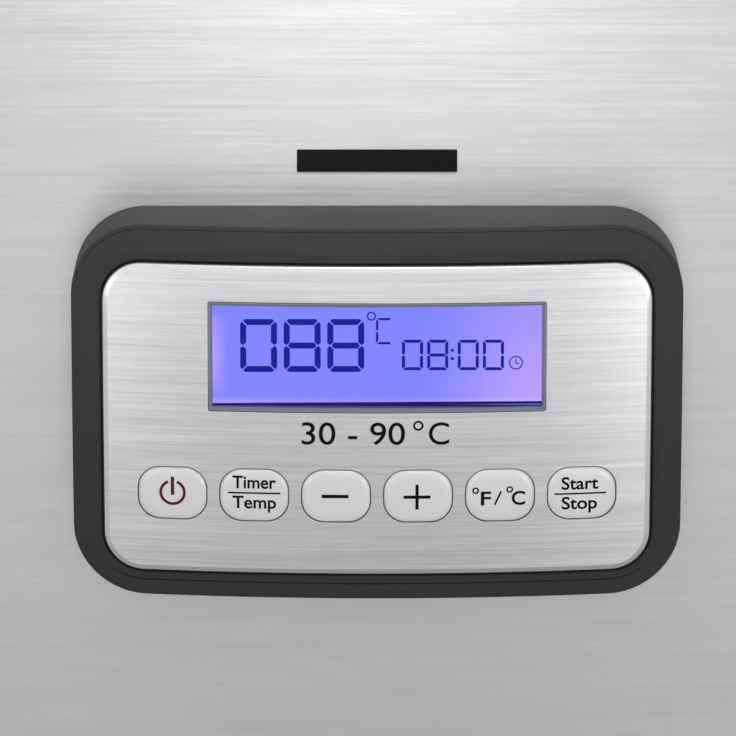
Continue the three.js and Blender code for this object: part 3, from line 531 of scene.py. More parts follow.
class Graph:
    """Short calls that add nodes to a tree and wire them."""

    def __init__(self, tree: Tree) -> None:
        """Works on a tree, whose nodes stay as they are."""
        self.tree = tree

    def feed(self, socket: Socket, value: Any) -> None:
        """Links a socket to another, or sets its value.

        Args:
            socket: An input of a node.
            value: An output of another node, or a plain value.
        """
        if isinstance(value, Socket):
            self.tree.links.new(value, socket)
        else:
            socket.default_value = value

    def add(self, kind: str, inputs: dict[Any, Any] | None = None, **settings: Any) -> bpy.types.Node:
        """Adds a node.

        Args:
            kind: Its type.
            inputs: Values or links for its inputs, by name or number.
            **settings: Its own settings.

        Returns:
            The node.
        """
        node = self.tree.nodes.new(kind)
        for name, value in settings.items():
            setattr(node, name, value)
        for key, value in (inputs or {}).items():
            self.feed(node.inputs[key], value)
        return node

    def maths(self, operation: str, *values: Any) -> Socket:
        """The result of one arithmetic step."""
        return self.add("ShaderNodeMath", dict(enumerate(values)), operation=operation).outputs[0]

    def stretched(self, vector: Any, factors: Any) -> Socket:
        """A vector stretched along each axis."""
        return self.add("ShaderNodeVectorMath", {0: vector, 1: factors}, operation="MULTIPLY").outputs[0]

    def ramp(self, value: Any, start: float, end: float) -> Socket:
        """0 at start and before it, 1 at end and past it, and smooth between them."""
        inputs = {"Value": value, "From Min": start, "From Max": end}
        return self.add("ShaderNodeMapRange", inputs, interpolation_type="SMOOTHSTEP").outputs[0]

    def mixed(self, share: Any, one: Any, other: Any, blend: str = "MIX") -> Socket:
        """A mix of two colours."""
        inputs = {0: share, 6: one, 7: other}
        return self.add("ShaderNodeMix", inputs, data_type="RGBA", blend_type=blend).outputs[2]

    def group(self, tree: Tree, **inputs: Any) -> Any:
        """The outputs of a group placed as a node, with values for its inputs."""
        return self.add("ShaderNodeGroup", inputs, node_tree=tree).outputs


class Group(Graph):
    """A node group with its own sockets."""

    def __init__(self, name: str, kind: str, inputs: dict[str, str], outputs: dict[str, str]) -> None:
        """Starts the group.

        Args:
            name: Its name.
            kind: The type of its tree.
            inputs: The type of each of its inputs, by name.
            outputs: The type of each of its outputs, by name.
        """
        super().__init__(bpy.data.node_groups.new(name, kind))
        for direction, sockets in (("INPUT", inputs), ("OUTPUT", outputs)):
            for title, form in sockets.items():
                self.tree.interface.new_socket(title, in_out=direction, socket_type=f"NodeSocket{form}")
        self.given = self.add("NodeGroupInput").outputs
        self.result = self.add("NodeGroupOutput").inputs


class ShapeTree(Group):
    """A Geometry Nodes tree that makes an object's shape and gives it its finish."""

    def __init__(self, name: str, inputs: dict[str, str]) -> None:
        """Starts the tree with its name and the types of its own inputs."""
        inputs = {"Geometry": "Geometry", **inputs, "Finish": "Material"}
        super().__init__(name, "GeometryNodeTree", inputs, {"Geometry": "Geometry"})

    def end(self, geometry: Socket) -> None:
        """Ends the tree in Realize Instances and Set Material.

        Args:
            geometry: The shape.
        """
        real = self.add("GeometryNodeRealizeInstances", {"Geometry": geometry}).outputs[0]
        inputs = {"Geometry": real, "Material": self.given["Finish"]}
        self.feed(self.result[0], self.add("GeometryNodeSetMaterial", inputs).outputs[0])

    def run(self, source: Object, inputs: dict[str, Any]) -> Object:
        """Runs the tree on an object.

        Args:
            source: The object that it starts from. It is removed.
            inputs: Values of its named inputs.

        Returns:
            A plain mesh object of the same name.
        """
        name = source.name
        modifier = source.modifiers.new("shape", "NODES")
        modifier.node_group = self.tree
        for item in self.tree.interface.items_tree:
            if item.in_out == "INPUT" and item.name in inputs:
                modifier[item.identifier] = inputs[item.name]
        graph = bpy.context.evaluated_depsgraph_get()
        mesh = bpy.data.meshes.new_from_object(source.evaluated_get(graph), depsgraph=graph)
        source.modifiers.remove(modifier)
        bpy.data.objects.remove(source)
        return linked(name, mesh)


class CopyTree(ShapeTree):
    """Places a pattern on every point of a mesh, turned by the point's own angles."""

    def __init__(self) -> None:
        """Builds the tree."""
        super().__init__("copies on points", {"Pattern": "Object"})
        pattern = self.add("GeometryNodeObjectInfo", {"Object": self.given["Pattern"]})
        turn = self.add("GeometryNodeInputNamedAttribute", {"Name": TURN_MARK}, data_type="FLOAT_VECTOR")
        rotation = self.add("FunctionNodeEulerToRotation", {0: turn.outputs["Attribute"]})
        copies = self.add("GeometryNodeInstanceOnPoints", {
            "Points": self.given["Geometry"],
            "Instance": pattern.outputs["Geometry"],
            "Rotation": rotation.outputs[0],
        })
        self.end(copies.outputs[0])

    def lay(
        self, name: str, pattern: Object, places: Section, finish: Material, turns: Section | None = None
    ) -> Object:
        """Copies of a pattern as one piece.

        Args:
            name: The piece's name.
            pattern: The object to copy. It is removed.
            places: Where the copies go, in millimetres.
            finish: Their material.
            turns: Their Euler angles, or none.

        Returns:
            The piece.
        """
        points = flat_object(name, np.array(places, float), [])
        angles = np.zeros((len(places), 3)) if turns is None else np.array(turns, float)
        turn = points.data.attributes.new(TURN_MARK, "FLOAT_VECTOR", "POINT")
        turn.data.foreach_set("vector", angles.astype(np.float32).ravel())
        made = self.run(points, {"Pattern": pattern, "Finish": finish})
        bpy.data.objects.remove(pattern)
        return made


# ---------------- finishes


class Grain(Enum):
    """Which way a grain runs, as its frequency along each axis in cycles per metre.

    The first two follow the sheet, along and across it, and the others follow the object's own axes.
    """

    ROUND_THE_WALLS = (70.0, 1500.0, 0.0)
    ACROSS_THE_PLATE = (42.0, 1400.0, 0.0)
    ALONG_THE_LID = (30.0, 1500.0, 1500.0)
    DRAWN = (140.0, 140.0, 700.0)

    @property
    def follows_sheet(self) -> bool:
        """Whether the grain is laid on the sheet's own map."""
        return self in (Grain.ROUND_THE_WALLS, Grain.ACROSS_THE_PLATE)


@cache
def brushed_grain() -> Tree:
    """The shade and relief of a brushed metal: fine scratches over broad streaks over slow clouds.

    Returns:
        The group.
    """
    group = Group(
        "brushed grain", "ShaderNodeTree", {"Vector": "Vector", "Frequency": "Vector", "Contrast": "Float"},
        {"Shade": "Float", "Value": "Float"},
    )
    fine, short, long, cloud = (3.0, 2.2, 2.2), (0.7, 1.3, 1.3), (0.12, 0.8, 0.8), (0.3, 0.16, 0.16)
    place = group.stretched(group.given["Vector"], group.given["Frequency"])
    value: Any = 0.0
    for stretch, weight in ((fine, 0.2), (short, 0.28), (long, 0.34), (cloud, 0.18)):
        inputs = {"Vector": group.stretched(place, stretch), "Scale": 1.0, "Detail": 2.0, "Roughness": 0.6}
        noise = group.add("ShaderNodeTexNoise", inputs).outputs[0]
        value = group.maths("MULTIPLY_ADD", noise, weight, value)
    spread = group.maths("SUBTRACT", value, 0.5)
    group.feed(group.result["Shade"], group.maths("MULTIPLY_ADD", spread, group.given["Contrast"], 1.0))
    group.feed(group.result["Value"], value)
    return group.tree


@cache
def moulded_texture() -> Tree:
    """The shade and relief of a spark-eroded moulding: fine pebbles under slow cloudy patches.

    Returns:
        The group.
    """
    group = Group(
        "moulded texture", "ShaderNodeTree", {"Vector": "Vector", "Pebble": "Float", "Contrast": "Float"},
        {"Shade": "Float", "Value": "Float", "Cloud": "Float"},
    )
    place, pebble = group.given["Vector"], group.given["Pebble"]
    pebbles = group.add("ShaderNodeTexNoise", {"Vector": place, "Scale": pebble, "Detail": 2.0})
    clouds = group.add("ShaderNodeTexNoise", {"Vector": place, "Scale": 26.0, "Detail": 3.0})
    spread = group.maths("SUBTRACT", clouds.outputs[0], 0.5)
    group.feed(group.result["Shade"], group.maths("MULTIPLY_ADD", spread, group.given["Contrast"], 1.0))
    group.feed(group.result["Value"], pebbles.outputs[0])
    group.feed(group.result["Cloud"], spread)
    return group.tree


def opaque(colour: Colour) -> tuple[float, float, float, float]:
    """A colour with full alpha."""
    return (*colour, 1.0)


class Surface(Graph):
    """A material in the making, with its Principled shader."""

    def __init__(self, name: str) -> None:
        """Starts a material.

        Args:
            name: Its name.
        """
        self.material = bpy.data.materials.new(name)
        self.material.use_nodes = True
        super().__init__(self.material.node_tree)

    def place(self) -> Socket:
        """Where a point lies on the object."""
        return self.add("ShaderNodeTexCoord").outputs["Object"]

    def moulded(self, pebble: float, contrast: float) -> Any:
        """The outputs of the moulded texture."""
        return self.group(moulded_texture(), Vector=self.place(), Pebble=pebble, Contrast=contrast)

    def shaded(self, colour: Colour, shade: Socket) -> Socket:
        """A colour times a shade."""
        return self.mixed(1.0, opaque(colour), shade, "MULTIPLY")

    def raised(self, height: Socket, relief: float) -> Socket:
        """The normal of a relief, whose depth is in millimetres."""
        inputs = {"Height": height, "Distance": relief * MM, "Strength": 1.0}
        return self.add("ShaderNodeBump", inputs).outputs[0]

    def dressed(self, inputs: dict[str, Any]) -> Material:
        """The material, finished.

        Args:
            inputs: Values or links for the inputs of its shader, by name.

        Returns:
            The material.
        """
        shader = self.tree.nodes["Principled BSDF"]
        for name, value in inputs.items():
            self.feed(shader.inputs[name], value)
        return self.material


@dataclass(frozen=True)
class Finish(ABC):
    """What a piece is made of and how it looks."""

    name: str
    colour: Colour
    roughness: float = 0.5

    @abstractmethod
    def material(self) -> Material:
        """Builds the material."""


@dataclass(frozen=True)
class BrushedMetal(Finish):
    """Metal brushed in one direction."""

    grain: Grain = Grain.DRAWN
    contrast: float = 0.3
    relief: float = 0.004
    anisotropy: float = 0.6

    def material(self) -> Material:
        """Builds the material.

        Returns:
            The material. On a sheet its gloss is drawn out across the grain.
        """
        surface = Surface(self.name)
        inputs: dict[str, Any] = {"Metallic": 1.0}
        if self.grain.follows_sheet:
            place = surface.add("ShaderNodeUVMap", uv_map=SHEET_MAP).outputs[0]
            along = surface.add("ShaderNodeTangent", direction_type="UV_MAP", uv_map=SHEET_MAP).outputs[0]
            inputs |= {"Tangent": along, "Anisotropic": self.anisotropy, "Anisotropic Rotation": 0.25}
        else:
            place = surface.place()
        grain = surface.group(
            brushed_grain(), Vector=place, Frequency=self.grain.value, Contrast=self.contrast
        )
        spread = surface.maths("SUBTRACT", grain["Value"], 0.5)
        return surface.dressed(inputs | {
            "Base Color": surface.shaded(self.colour, grain["Shade"]),
            "Roughness": surface.maths("MULTIPLY_ADD", spread, 0.25, self.roughness),
            "Normal": surface.raised(grain["Value"], self.relief),
        })


@dataclass(frozen=True)
class PlainMetal(Finish):
    """Plated or cast metal with a faint cloudiness."""

    def material(self) -> Material:
        """Builds the material.

        Returns:
            The material.
        """
        surface = Surface(self.name)
        texture = surface.moulded(900.0, 0.18)
        return surface.dressed({
            "Metallic": 1.0,
            "Base Color": surface.shaded(self.colour, texture["Shade"]),
            "Roughness": surface.maths("MULTIPLY_ADD", texture["Cloud"], 0.3, self.roughness),
        })


@dataclass(frozen=True)
class Moulding(Finish):
    """Moulded plastic, rubber or silicone with a fine texture."""

    pebble: float = 2200.0
    relief: float = 0.01
    coat: float = 0.0
    metallic: float = 0.0
    specular: float = 0.5

    def material(self) -> Material:
        """Builds the material.

        Returns:
            The material.
        """
        surface = Surface(self.name)
        texture = surface.moulded(self.pebble, 0.12)
        return surface.dressed({
            "Coat Weight": self.coat,
            "Coat Roughness": 0.12,
            "Metallic": self.metallic,
            "Specular IOR Level": self.specular,
            "Base Color": surface.shaded(self.colour, texture["Shade"]),
            "Roughness": surface.maths("MULTIPLY_ADD", texture["Cloud"], 0.16, self.roughness),
            "Normal": surface.raised(texture["Value"], self.relief),
        })


@dataclass(frozen=True)
class ClearGlass(Finish):
    """Clear glass, faintly tinted."""

    roughness: float = 0.0
    index: float = 1.46

    def material(self) -> Material:
        """Builds the material.

        Returns:
            The material, whose fine smears are in its roughness.
        """
        surface = Surface(self.name)
        texture = surface.moulded(300.0, 0.04)
        smear = surface.maths("ABSOLUTE", texture["Cloud"])
        return surface.dressed({
            "Transmission Weight": 1.0,
            "IOR": self.index,
            "Base Color": surface.shaded(self.colour, texture["Shade"]),
            "Roughness": surface.maths("MULTIPLY_ADD", smear, 0.08, self.roughness),
        })


@dataclass(frozen=True)
class Ink(Finish):
    """Printed ink, enamel, or the dark segments of the display, slightly uneven."""

    glow: Colour = (0.0, 0.0, 0.0)
    specular: float = 0.2

    def material(self) -> Material:
        """Builds the material.

        Returns:
            The material.
        """
        surface = Surface(self.name)
        shade = surface.moulded(1500.0, 0.2)["Shade"]
        inputs = {
            "Roughness": self.roughness,
            "Specular IOR Level": self.specular,
            "Base Color": surface.shaded(self.colour, shade),
        }
        if any(self.glow):
            inputs |= {"Emission Strength": 1.0, "Emission Color": surface.shaded(self.glow, shade)}
        return surface.dressed(inputs)


@dataclass(frozen=True)
class LitCell(Finish):
    """The face of the back-lit display: blue-violet, pinker where its lamps sit, dark below the lit field,
    where a navy band of painted shade carries a painted highlight streak.
    """

    roughness: float = 0.3
    glow_pink: Colour = (0.62, 0.42, 1.0)
    # The navy and the blue below are painted shade and a painted highlight, in the band below the lit field.
    shadow_navy: Colour = (0.006, 0.008, 0.11)
    painted_highlight_blue: Colour = (0.16, 0.18, 0.66)

    def material(self) -> Material:
        """Builds the material.

        Returns:
            The material. It gives its own light, with u and v running from -1 to 1 over the cell.
        """
        surface = Surface(self.name)
        maths, ramp = surface.maths, surface.ramp
        cell = Extent.of("display_glass")
        half = cell.size / 2
        axes = surface.add("ShaderNodeSeparateXYZ", {0: surface.place()}).outputs
        u, v = (
            maths("MULTIPLY_ADD", axes[axis], 1 / (half[axis] * MM), -cell.centre[axis] / half[axis])
            for axis in (0, 2)
        )
        fading = maths("MULTIPLY_ADD", maths("MULTIPLY", v, v), -1.3, 1.0)
        left = maths("MULTIPLY", maths("MULTIPLY", ramp(u, -0.88, -1.0), fading), 0.6)
        right = maths("MULTIPLY", ramp(u, 0.2, 1.05), maths("MULTIPLY_ADD", v, -0.18, 0.5))
        toward_ends = maths("MULTIPLY_ADD", maths("MULTIPLY", u, u), 0.3, 0.25)
        foot = maths("MULTIPLY", ramp(v, -0.79, -0.92), toward_ends)
        glow = maths("ADD", maths("ADD", left, right), foot)
        glow = maths("MULTIPLY", glow, surface.moulded(500.0, 0.5)["Shade"])
        lit = surface.mixed(maths("MINIMUM", glow, 1.0), opaque(self.colour), opaque(self.glow_pink))
        # Below the lit field: a navy band of painted shade, standing for the shade on the window's lower
        # wall, with a painted highlight streak along its right part.
        below = maths("SUBTRACT", maths("MULTIPLY_ADD", u, 0.02, -0.908), v)
        painted_highlight = maths("MULTIPLY", ramp(u, 0.3, 0.9), ramp(below, 0.055, 0.07))
        band = surface.mixed(painted_highlight, opaque(self.shadow_navy), opaque(self.painted_highlight_blue))
        return surface.dressed({
            "Base Color": (0.01, 0.01, 0.02, 1.0),
            "Roughness": self.roughness,
            "Specular IOR Level": 0.0,
            "Emission Strength": 1.0,
            "Emission Color": surface.mixed(ramp(below, 0.0, 0.02), lit, band),
        })


class Slot(Enum):
    """The record's material slots, each with its finish."""

    BRUSHED_STEEL = BrushedMetal("brushed steel", (0.75, 0.752, 0.745), 0.36, Grain.ROUND_THE_WALLS, 0.34)
    DRAWN_STEEL = BrushedMetal("drawn steel", (0.7, 0.71, 0.72), 0.3, Grain.DRAWN, 0.08, 0.002)
    BRUSHED_PLATE = BrushedMetal("brushed plate", (0.73, 0.735, 0.75), 0.38, Grain.ACROSS_THE_PLATE, 1.1)
    SCREW_STEEL = PlainMetal("zinc plate", (0.62, 0.63, 0.65), 0.32)
    MOTOR_STEEL = PlainMetal("motor steel", (0.56, 0.57, 0.58), 0.4)
    BLACK_MOULDING = Moulding("black moulding", (0.032, 0.033, 0.035), 0.48)
    PANEL_BLACK = Moulding("panel black", (0.052, 0.055, 0.056), 0.6, 2600.0, 0.004, specular=0.03)
    DARK_MOULDING = Moulding("plain black", (0.012, 0.012, 0.013), 0.4)
    KEY_SILVER = Moulding("silver key", (0.9, 0.905, 0.92), 0.42, 1800.0, 0.002, coat=0.4, metallic=0.1)
    DISPLAY_TRIM = Moulding("display trim", (0.24, 0.26, 0.3), 0.4, 1500.0, 0.002, specular=0.35)
    CLEAR_GLASS = ClearGlass("clear glass", (0.97, 0.99, 0.98))
    LIT_DISPLAY = LitCell("lit display", (0.225, 0.24, 0.96))
    DIFFUSER = Moulding("milky light guide", (0.8, 0.82, 0.86), 0.5, 800.0, 0.002)
    CIRCUIT_BOARD = Moulding("solder mask", (0.02, 0.09, 0.045), 0.35, 700.0, 0.004, coat=0.3)
    RUBBER = Moulding("black rubber", (0.02, 0.02, 0.021), 0.7, 1400.0, 0.02)
    SILICONE = Moulding("silicone", (0.62, 0.62, 0.6), 0.5, 1200.0, 0.006)
    BRASS = PlainMetal("brass", (0.72, 0.56, 0.28), 0.3)


class Trim(Enum):
    """Finishes beside those of the slots."""

    LID_STEEL = BrushedMetal("brushed lid", (0.66, 0.662, 0.66), 0.34, Grain.ALONG_THE_LID, relief=0.002)
    POLISHED_EDGE = BrushedMetal(
        "polished edge", (0.7, 0.705, 0.72), 0.22, Grain.ACROSS_THE_PLATE, 0.1, 0.0005, anisotropy=0.0
    )
    LENS = ClearGlass("display lens", (0.98, 0.98, 1.0), index=1.02)
    ENAMEL = Ink("black enamel", (0.007, 0.007, 0.0075), specular=0.08)
    BLACK_INK = Ink("black ink", (0.006, 0.006, 0.007), specular=0.05)
    RED_INK = Ink("dark red ink", (0.12, 0.012, 0.01))
    SEGMENTS = Ink("display segments", (0.002, 0.003, 0.02), glow=(0.009, 0.017, 0.27), specular=0.0)


@cache
def material_of(finish: Slot | Trim) -> Material:
    """The material of a finish, built once."""
    return finish.value.material()


class Workshop:
    """Dresses pieces and puts them on their bodies."""

    def __init__(self) -> None:
        """Builds the tree that lays copies."""
        self.copies = CopyTree()

    def fit(
        self, piece: Object, slot: Slot | None, body: str = "base", replaces: Sequence[str] = (),
        finish: Slot | Trim | None = None,
    ) -> None:
        """Gives a piece its material and its body.

        Args:
            piece: A piece in its place.
            slot: The record's slot that its finish comes from, if one does.
            body: The CAD body that it rides on.
            replaces: The CAD nodes that it stands for.
            finish: Another finish than the slot's.
        """
        piece.data.materials.clear()
        piece.data.materials.append(material_of(finish or slot))
        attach(piece, body)
        if replaces:
            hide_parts(*replaces)
        log.info("%s rides on %s", piece.name, body)

    def lay(
        self, name: str, pattern: Object, places: Section, slot: Slot, body: str = "base",
        replaces: Sequence[str] = (),
    ) -> None:
        """Copies a pattern to its places and fits the copies as one piece."""
        self.fit(self.copies.lay(name, pattern, places, material_of(slot)), slot, body, replaces)

    def keep(self, node: str, slot: Slot) -> None:
        """Gives its material to a CAD node that stays as it is.

        Args:
            node: The node's name.
            slot: The record's slot that its finish comes from.
        """
        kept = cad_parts[node]
        kept.data.materials.clear()
        kept.data.materials.append(material_of(slot))
        log.info("%s stays as it is", node)


@dataclass
class SubAssembly(ABC):
    """Pieces that are built together."""

    shop: Workshop

    @abstractmethod
    def build(self) -> None:
        """Makes the pieces and fits them."""


# ---------------- the bowed control panel


@dataclass
class BowedFront:
    """The front of the control panel: bowed about an upright axis and slightly crowned from top to bottom.

    Pieces of the panel are drawn as if the front were flat: x to the right, y up from the panel's middle and
    z out from the front, or out from the wall where they are marked so. A Geometry Nodes tree then bends
    them on to the front and puts them in their place.
    """

    depth: float = 26.2
    face_radius: float = 360.0
    crown_radius: float = 420.0
    housing: Extent = field(default_factory=lambda: Extent.of("panel_housing"))
    sizes: dict[str, float] = field(init=False)
    tree: ShapeTree = field(init=False)

    def __post_init__(self) -> None:
        """Builds the tree that bends a flat drawing on to the front."""
        sizes = {
            "Depth": self.depth, "Face Radius": self.face_radius, "Crown Radius": self.crown_radius,
            "Wall": self.wall, "Level": self.level,
        }
        self.sizes = {name: size * MM for name, size in sizes.items()}
        self.tree = tree = ShapeTree("bowed front", dict.fromkeys(sizes, "Float"))
        maths = tree.maths
        place = tree.add("GeometryNodeInputPosition").outputs[0]
        x, y, z = tree.add("ShaderNodeSeparateXYZ", {0: place}).outputs
        mark = tree.add("GeometryNodeInputNamedAttribute", {"Name": WALL_MARK}, data_type="FLOAT")
        depth, face, crown, wall, level = (tree.given[name] for name in sizes)
        drop = maths("DIVIDE", maths("MULTIPLY", y, y), crown)
        radius = maths("SUBTRACT", face, maths("MULTIPLY", drop, 0.5))
        square = maths("SUBTRACT", maths("MULTIPLY", radius, radius), maths("MULTIPLY", x, x))
        height = maths("ADD", maths("SUBTRACT", depth, face), maths("SQRT", square))
        free = maths("SUBTRACT", 1.0, mark.outputs["Attribute"])
        out = maths("MULTIPLY_ADD", height, free, z)
        axes = {"X": x, "Y": maths("SUBTRACT", wall, out), "Z": maths("ADD", y, level)}
        moved = tree.add("ShaderNodeCombineXYZ", axes).outputs[0]
        shape = {"Geometry": tree.given["Geometry"], "Position": moved}
        tree.end(tree.add("GeometryNodeSetPosition", shape).outputs[0])

    @property
    def wall(self) -> float:
        """Where the wall behind the panel is."""
        return self.housing.high[1]

    @property
    def level(self) -> float:
        """Height of the panel's middle."""
        return self.housing.centre[2]

    def bend(self, drawing: Skin, name: str) -> Object:
        """The piece that a flat drawing becomes once it is bent on to the front and closed."""
        return closed(self.tree.run(drawing.object(name), self.sizes))

    def height(self, x: float, y: float) -> float:
        """Distance of the front from the wall."""
        radius = self.face_radius - y * y / (2 * self.crown_radius)
        return self.depth - self.face_radius + math.sqrt(radius**2 - x * x)

    def drawn(
        self, node: str, radius: float, arc: int, along: tuple[int, int], margin: float = 0.0
    ) -> Outline:
        """The outline of a CAD node in a drawing of the panel, larger than the node by a margin."""
        (x, _, z), (width, _, height) = Extent.of(node).centre, Extent.of(node).size + 2 * margin
        return Outline(width, height, radius, (x, z - self.level), arc, along)


@dataclass
class PanelHousing(SubAssembly):
    """The black moulding that carries the plate: a skirt off the wall, a band round the plate and its lip."""

    front: BowedFront
    radius: float = 16.5
    band: float = 7.0
    edge: float = 0.4
    edge_reach: float = 0.64
    under_roll: float = 7.4
    drip_groove: tuple[Pair, ...] = ((0.1, 0.0), (0.26, -0.22), (0.42, 0.0))
    lip: float = 1.8
    lip_drop: float = 0.85
    seat_gap: float = 0.4
    ledge: float = 1.8
    skirt: float = 2.4
    plate_radius: float = 9.1
    plate_gap: float = 0.4
    plate_sink: float = 1.8
    nudge: float = 0.2

    def roll(self, y: Points) -> Points:
        """How much rounder the outer edge is at a height: 1 along the top and sides, more underneath."""
        quarter = self.front.housing.size[2] / 4
        return 1 + (self.under_roll - 1) * smooth((-quarter - y) / quarter)

    def outline(self, inset: float) -> Points:
        """The housing's front at an inset.

        Args:
            inset: 0 for its edge, the band for the plate's opening, and more for what is under the plate.

        Returns:
            The points round it.
        """
        radius, gap, steps = self.plate_radius + self.plate_gap, self.plate_gap, (20, (64, 24))
        outer = self.front.drawn("panel_housing", self.radius, *steps)
        plate = self.front.drawn("face_plate", radius, *steps, gap)
        ends = [np.array((line.width, line.height, line.radius, line.centre[1])) for line in (outer, plate)]
        *size, middle = ends[0] + (ends[1] - ends[0]) * min(inset / self.band, 1.0)
        return Outline(*size, (0, middle), *steps).loop(max(inset - self.band, 0.0), 0.3)

    def build(self) -> None:
        """Makes the housing."""
        reach, band, seat = self.edge_reach, self.band, -self.plate_sink - self.seat_gap
        outer = self.outline(0)
        inward = (self.outline(self.nudge) - outer) / self.nudge
        rounder = self.roll(outer[:, 1])
        upward = np.clip(-inward[:, 1], 0, 1)
        rings = [lifted(outer, 0.0)]
        for inset, depth in softened([(0, -reach), (0, 0), (reach, 0)], self.edge, 8):
            rings.append(lifted(outer + inward * (inset * rounder)[:, None], depth * rounder))
        for inset, depth in self.drip_groove:
            rings.append(lifted(outer + inward * (reach * rounder + inset)[:, None], depth * upward))
        inner = [
            (reach, 0), (band - self.lip, 0), (band, -self.lip_drop), (band, seat), (band + self.ledge, seat),
            (band + self.ledge, seat - self.ledge), (self.skirt, seat - self.ledge),
        ]
        for inset, depth in softened(inner, [0, 0.5, 0.25, 0, 0, 0, 0], 5)[1:]:
            rings.append(lifted(self.outline(inset), depth))
        rings.append(lifted(self.outline(self.skirt), 0.0))
        skin = Skin(flat=True)
        skin.loft(rings, joined=True, walls=footed(rings))
        self.shop.fit(self.front.bend(skin, "panel_shell"), Slot.PANEL_BLACK, replaces=["panel_housing"])


def strip(right: Points, left: Points) -> tuple[Points, list[Triangle]]:
    """The points and triangles of a stroke, from as many points on its right edge as on its left."""
    steps = [(k, k + len(right)) for k in range(len(right) - 1)]
    return np.concatenate((right, left)), [t for a, b in steps for t in ((a, a + 1, b + 1), (a, b + 1, b))]


def stroke(start: Pair, end: Pair, thickness: float, steps: int = 1) -> tuple[Points, Points]:
    """The right and left edges of a straight stroke.

    Args:
        start: Where it starts.
        end: Where it ends.
        thickness: How thick it is.
        steps: Steps along it.

    Returns:
        The points of both edges.
    """
    first, run = np.array(start, float), np.subtract(end, start)
    side = np.array((-run[1], run[0])) / np.linalg.norm(run) * thickness / 2
    middle = first + run * np.linspace(0, 1, steps + 1)[:, None]
    return middle - side, middle + side


@dataclass
class Lettering:
    """Flat words and strokes, in millimetres about their own origin, to be printed on the panel."""

    faces: list[tuple[Points, list[Triangle]]] = field(default_factory=list)
    thickness: float = 0.03
    sunk: float = 0.02
    longest_edge: float = 0.16

    def typeset(self, text: str, weight: float) -> tuple[Points, list[Triangle]]:
        """The triangles of a text at the size of its own font.

        Args:
            text: What it says.
            weight: How much its strokes are thickened, as a share of its size.

        Returns:
            The points and the triangles, cut short enough to follow a dome.
        """
        curve = bpy.data.curves.new("text", "FONT")
        curve.body = text
        curve.resolution_u = 8
        curve.offset = weight
        holder = linked("text", curve)
        graph = bpy.context.evaluated_depsgraph_get()
        mesh = bpy.data.meshes.new_from_object(holder.evaluated_get(graph), depsgraph=graph)
        work = bmesh.new()
        work.from_mesh(mesh)
        bmesh.ops.remove_doubles(work, verts=work.verts, dist=1e-5)
        bmesh.ops.triangulate(work, faces=work.faces)
        for _ in range(3):
            long = [edge for edge in work.edges if edge.calc_length() > self.longest_edge]
            bmesh.ops.subdivide_edges(work, edges=long, cuts=1)
            bmesh.ops.triangulate(work, faces=work.faces)
        points = np.array([v.co[:2] for v in work.verts])
        triangles = [tuple(v.index for v in face.verts) for face in work.faces]
        work.free()
        bpy.data.objects.remove(holder)
        bpy.data.meshes.remove(mesh)
        return points, triangles

    def words(self, text: str, capital: float, width: float, foot: Pair, weight: float = 0.018) -> None:
        """A line of text.

        Args:
            text: What it says.
            capital: Height of its capital letters.
            width: Its whole width.
            foot: The middle of its baseline.
            weight: How much its strokes are thickened, as a share of its size.
        """
        points, triangles = self.typeset(text, weight)
        tall, _ = self.typeset("H", weight)
        low, high = points[:, 0].min(), points[:, 0].max()
        scale = (width / (high - low), capital / tall[:, 1].max())
        self.faces.append(((points - ((low + high) / 2, 0)) * scale + foot, triangles))

    def bar(self, start: Pair, end: Pair, thickness: float) -> None:
        """A straight stroke."""
        self.faces.append(strip(*stroke(start, end, thickness, 12)))

    def arc(self, radius: float, thickness: float, span: Pair, centre: Pair, steps: int = 48) -> None:
        """A stroke along an arc between two angles."""
        turns = spokes(np.linspace(*span, steps + 1))
        self.faces.append(strip(*(turns * (radius + out * thickness / 2) + centre for out in (1, -1))))

    def ring(self, radius: float, thickness: float, centre: Pair) -> None:
        """A closed ring."""
        self.arc(radius, thickness, (0, math.tau), centre, 40)

    def laid(
        self, name: str, front: BowedFront, centre: Pair, level: Callable[[Points], float | Points]
    ) -> Object:
        """The lettering printed on the panel.

        Args:
            name: The piece's name.
            front: The bowed front.
            centre: Where its origin goes on the panel.
            level: Height of what it is printed on above the front.

        Returns:
            The piece in its place.
        """
        skin = Skin(flat=True)
        for drawn, triangles in self.faces:
            points = drawn + np.array(centre)
            base = level(points)
            top, back = lifted(points, base + self.thickness), lifted(points, base - self.sunk)
            skin.add(top, triangles)
            skin.add(back, [triangle[::-1] for triangle in triangles])
            rim: dict[frozenset[int], tuple[int, int]] = {}
            for a, b, c in triangles:
                for edge in ((a, b), (b, c), (c, a)):
                    if rim.pop(frozenset(edge), None) is None:
                        rim[frozenset(edge)] = edge
            count = len(points)
            skin.add(np.concatenate((top, back)), [(a, b, b + count, a + count) for a, b in rim.values()])
        return front.bend(skin, name)


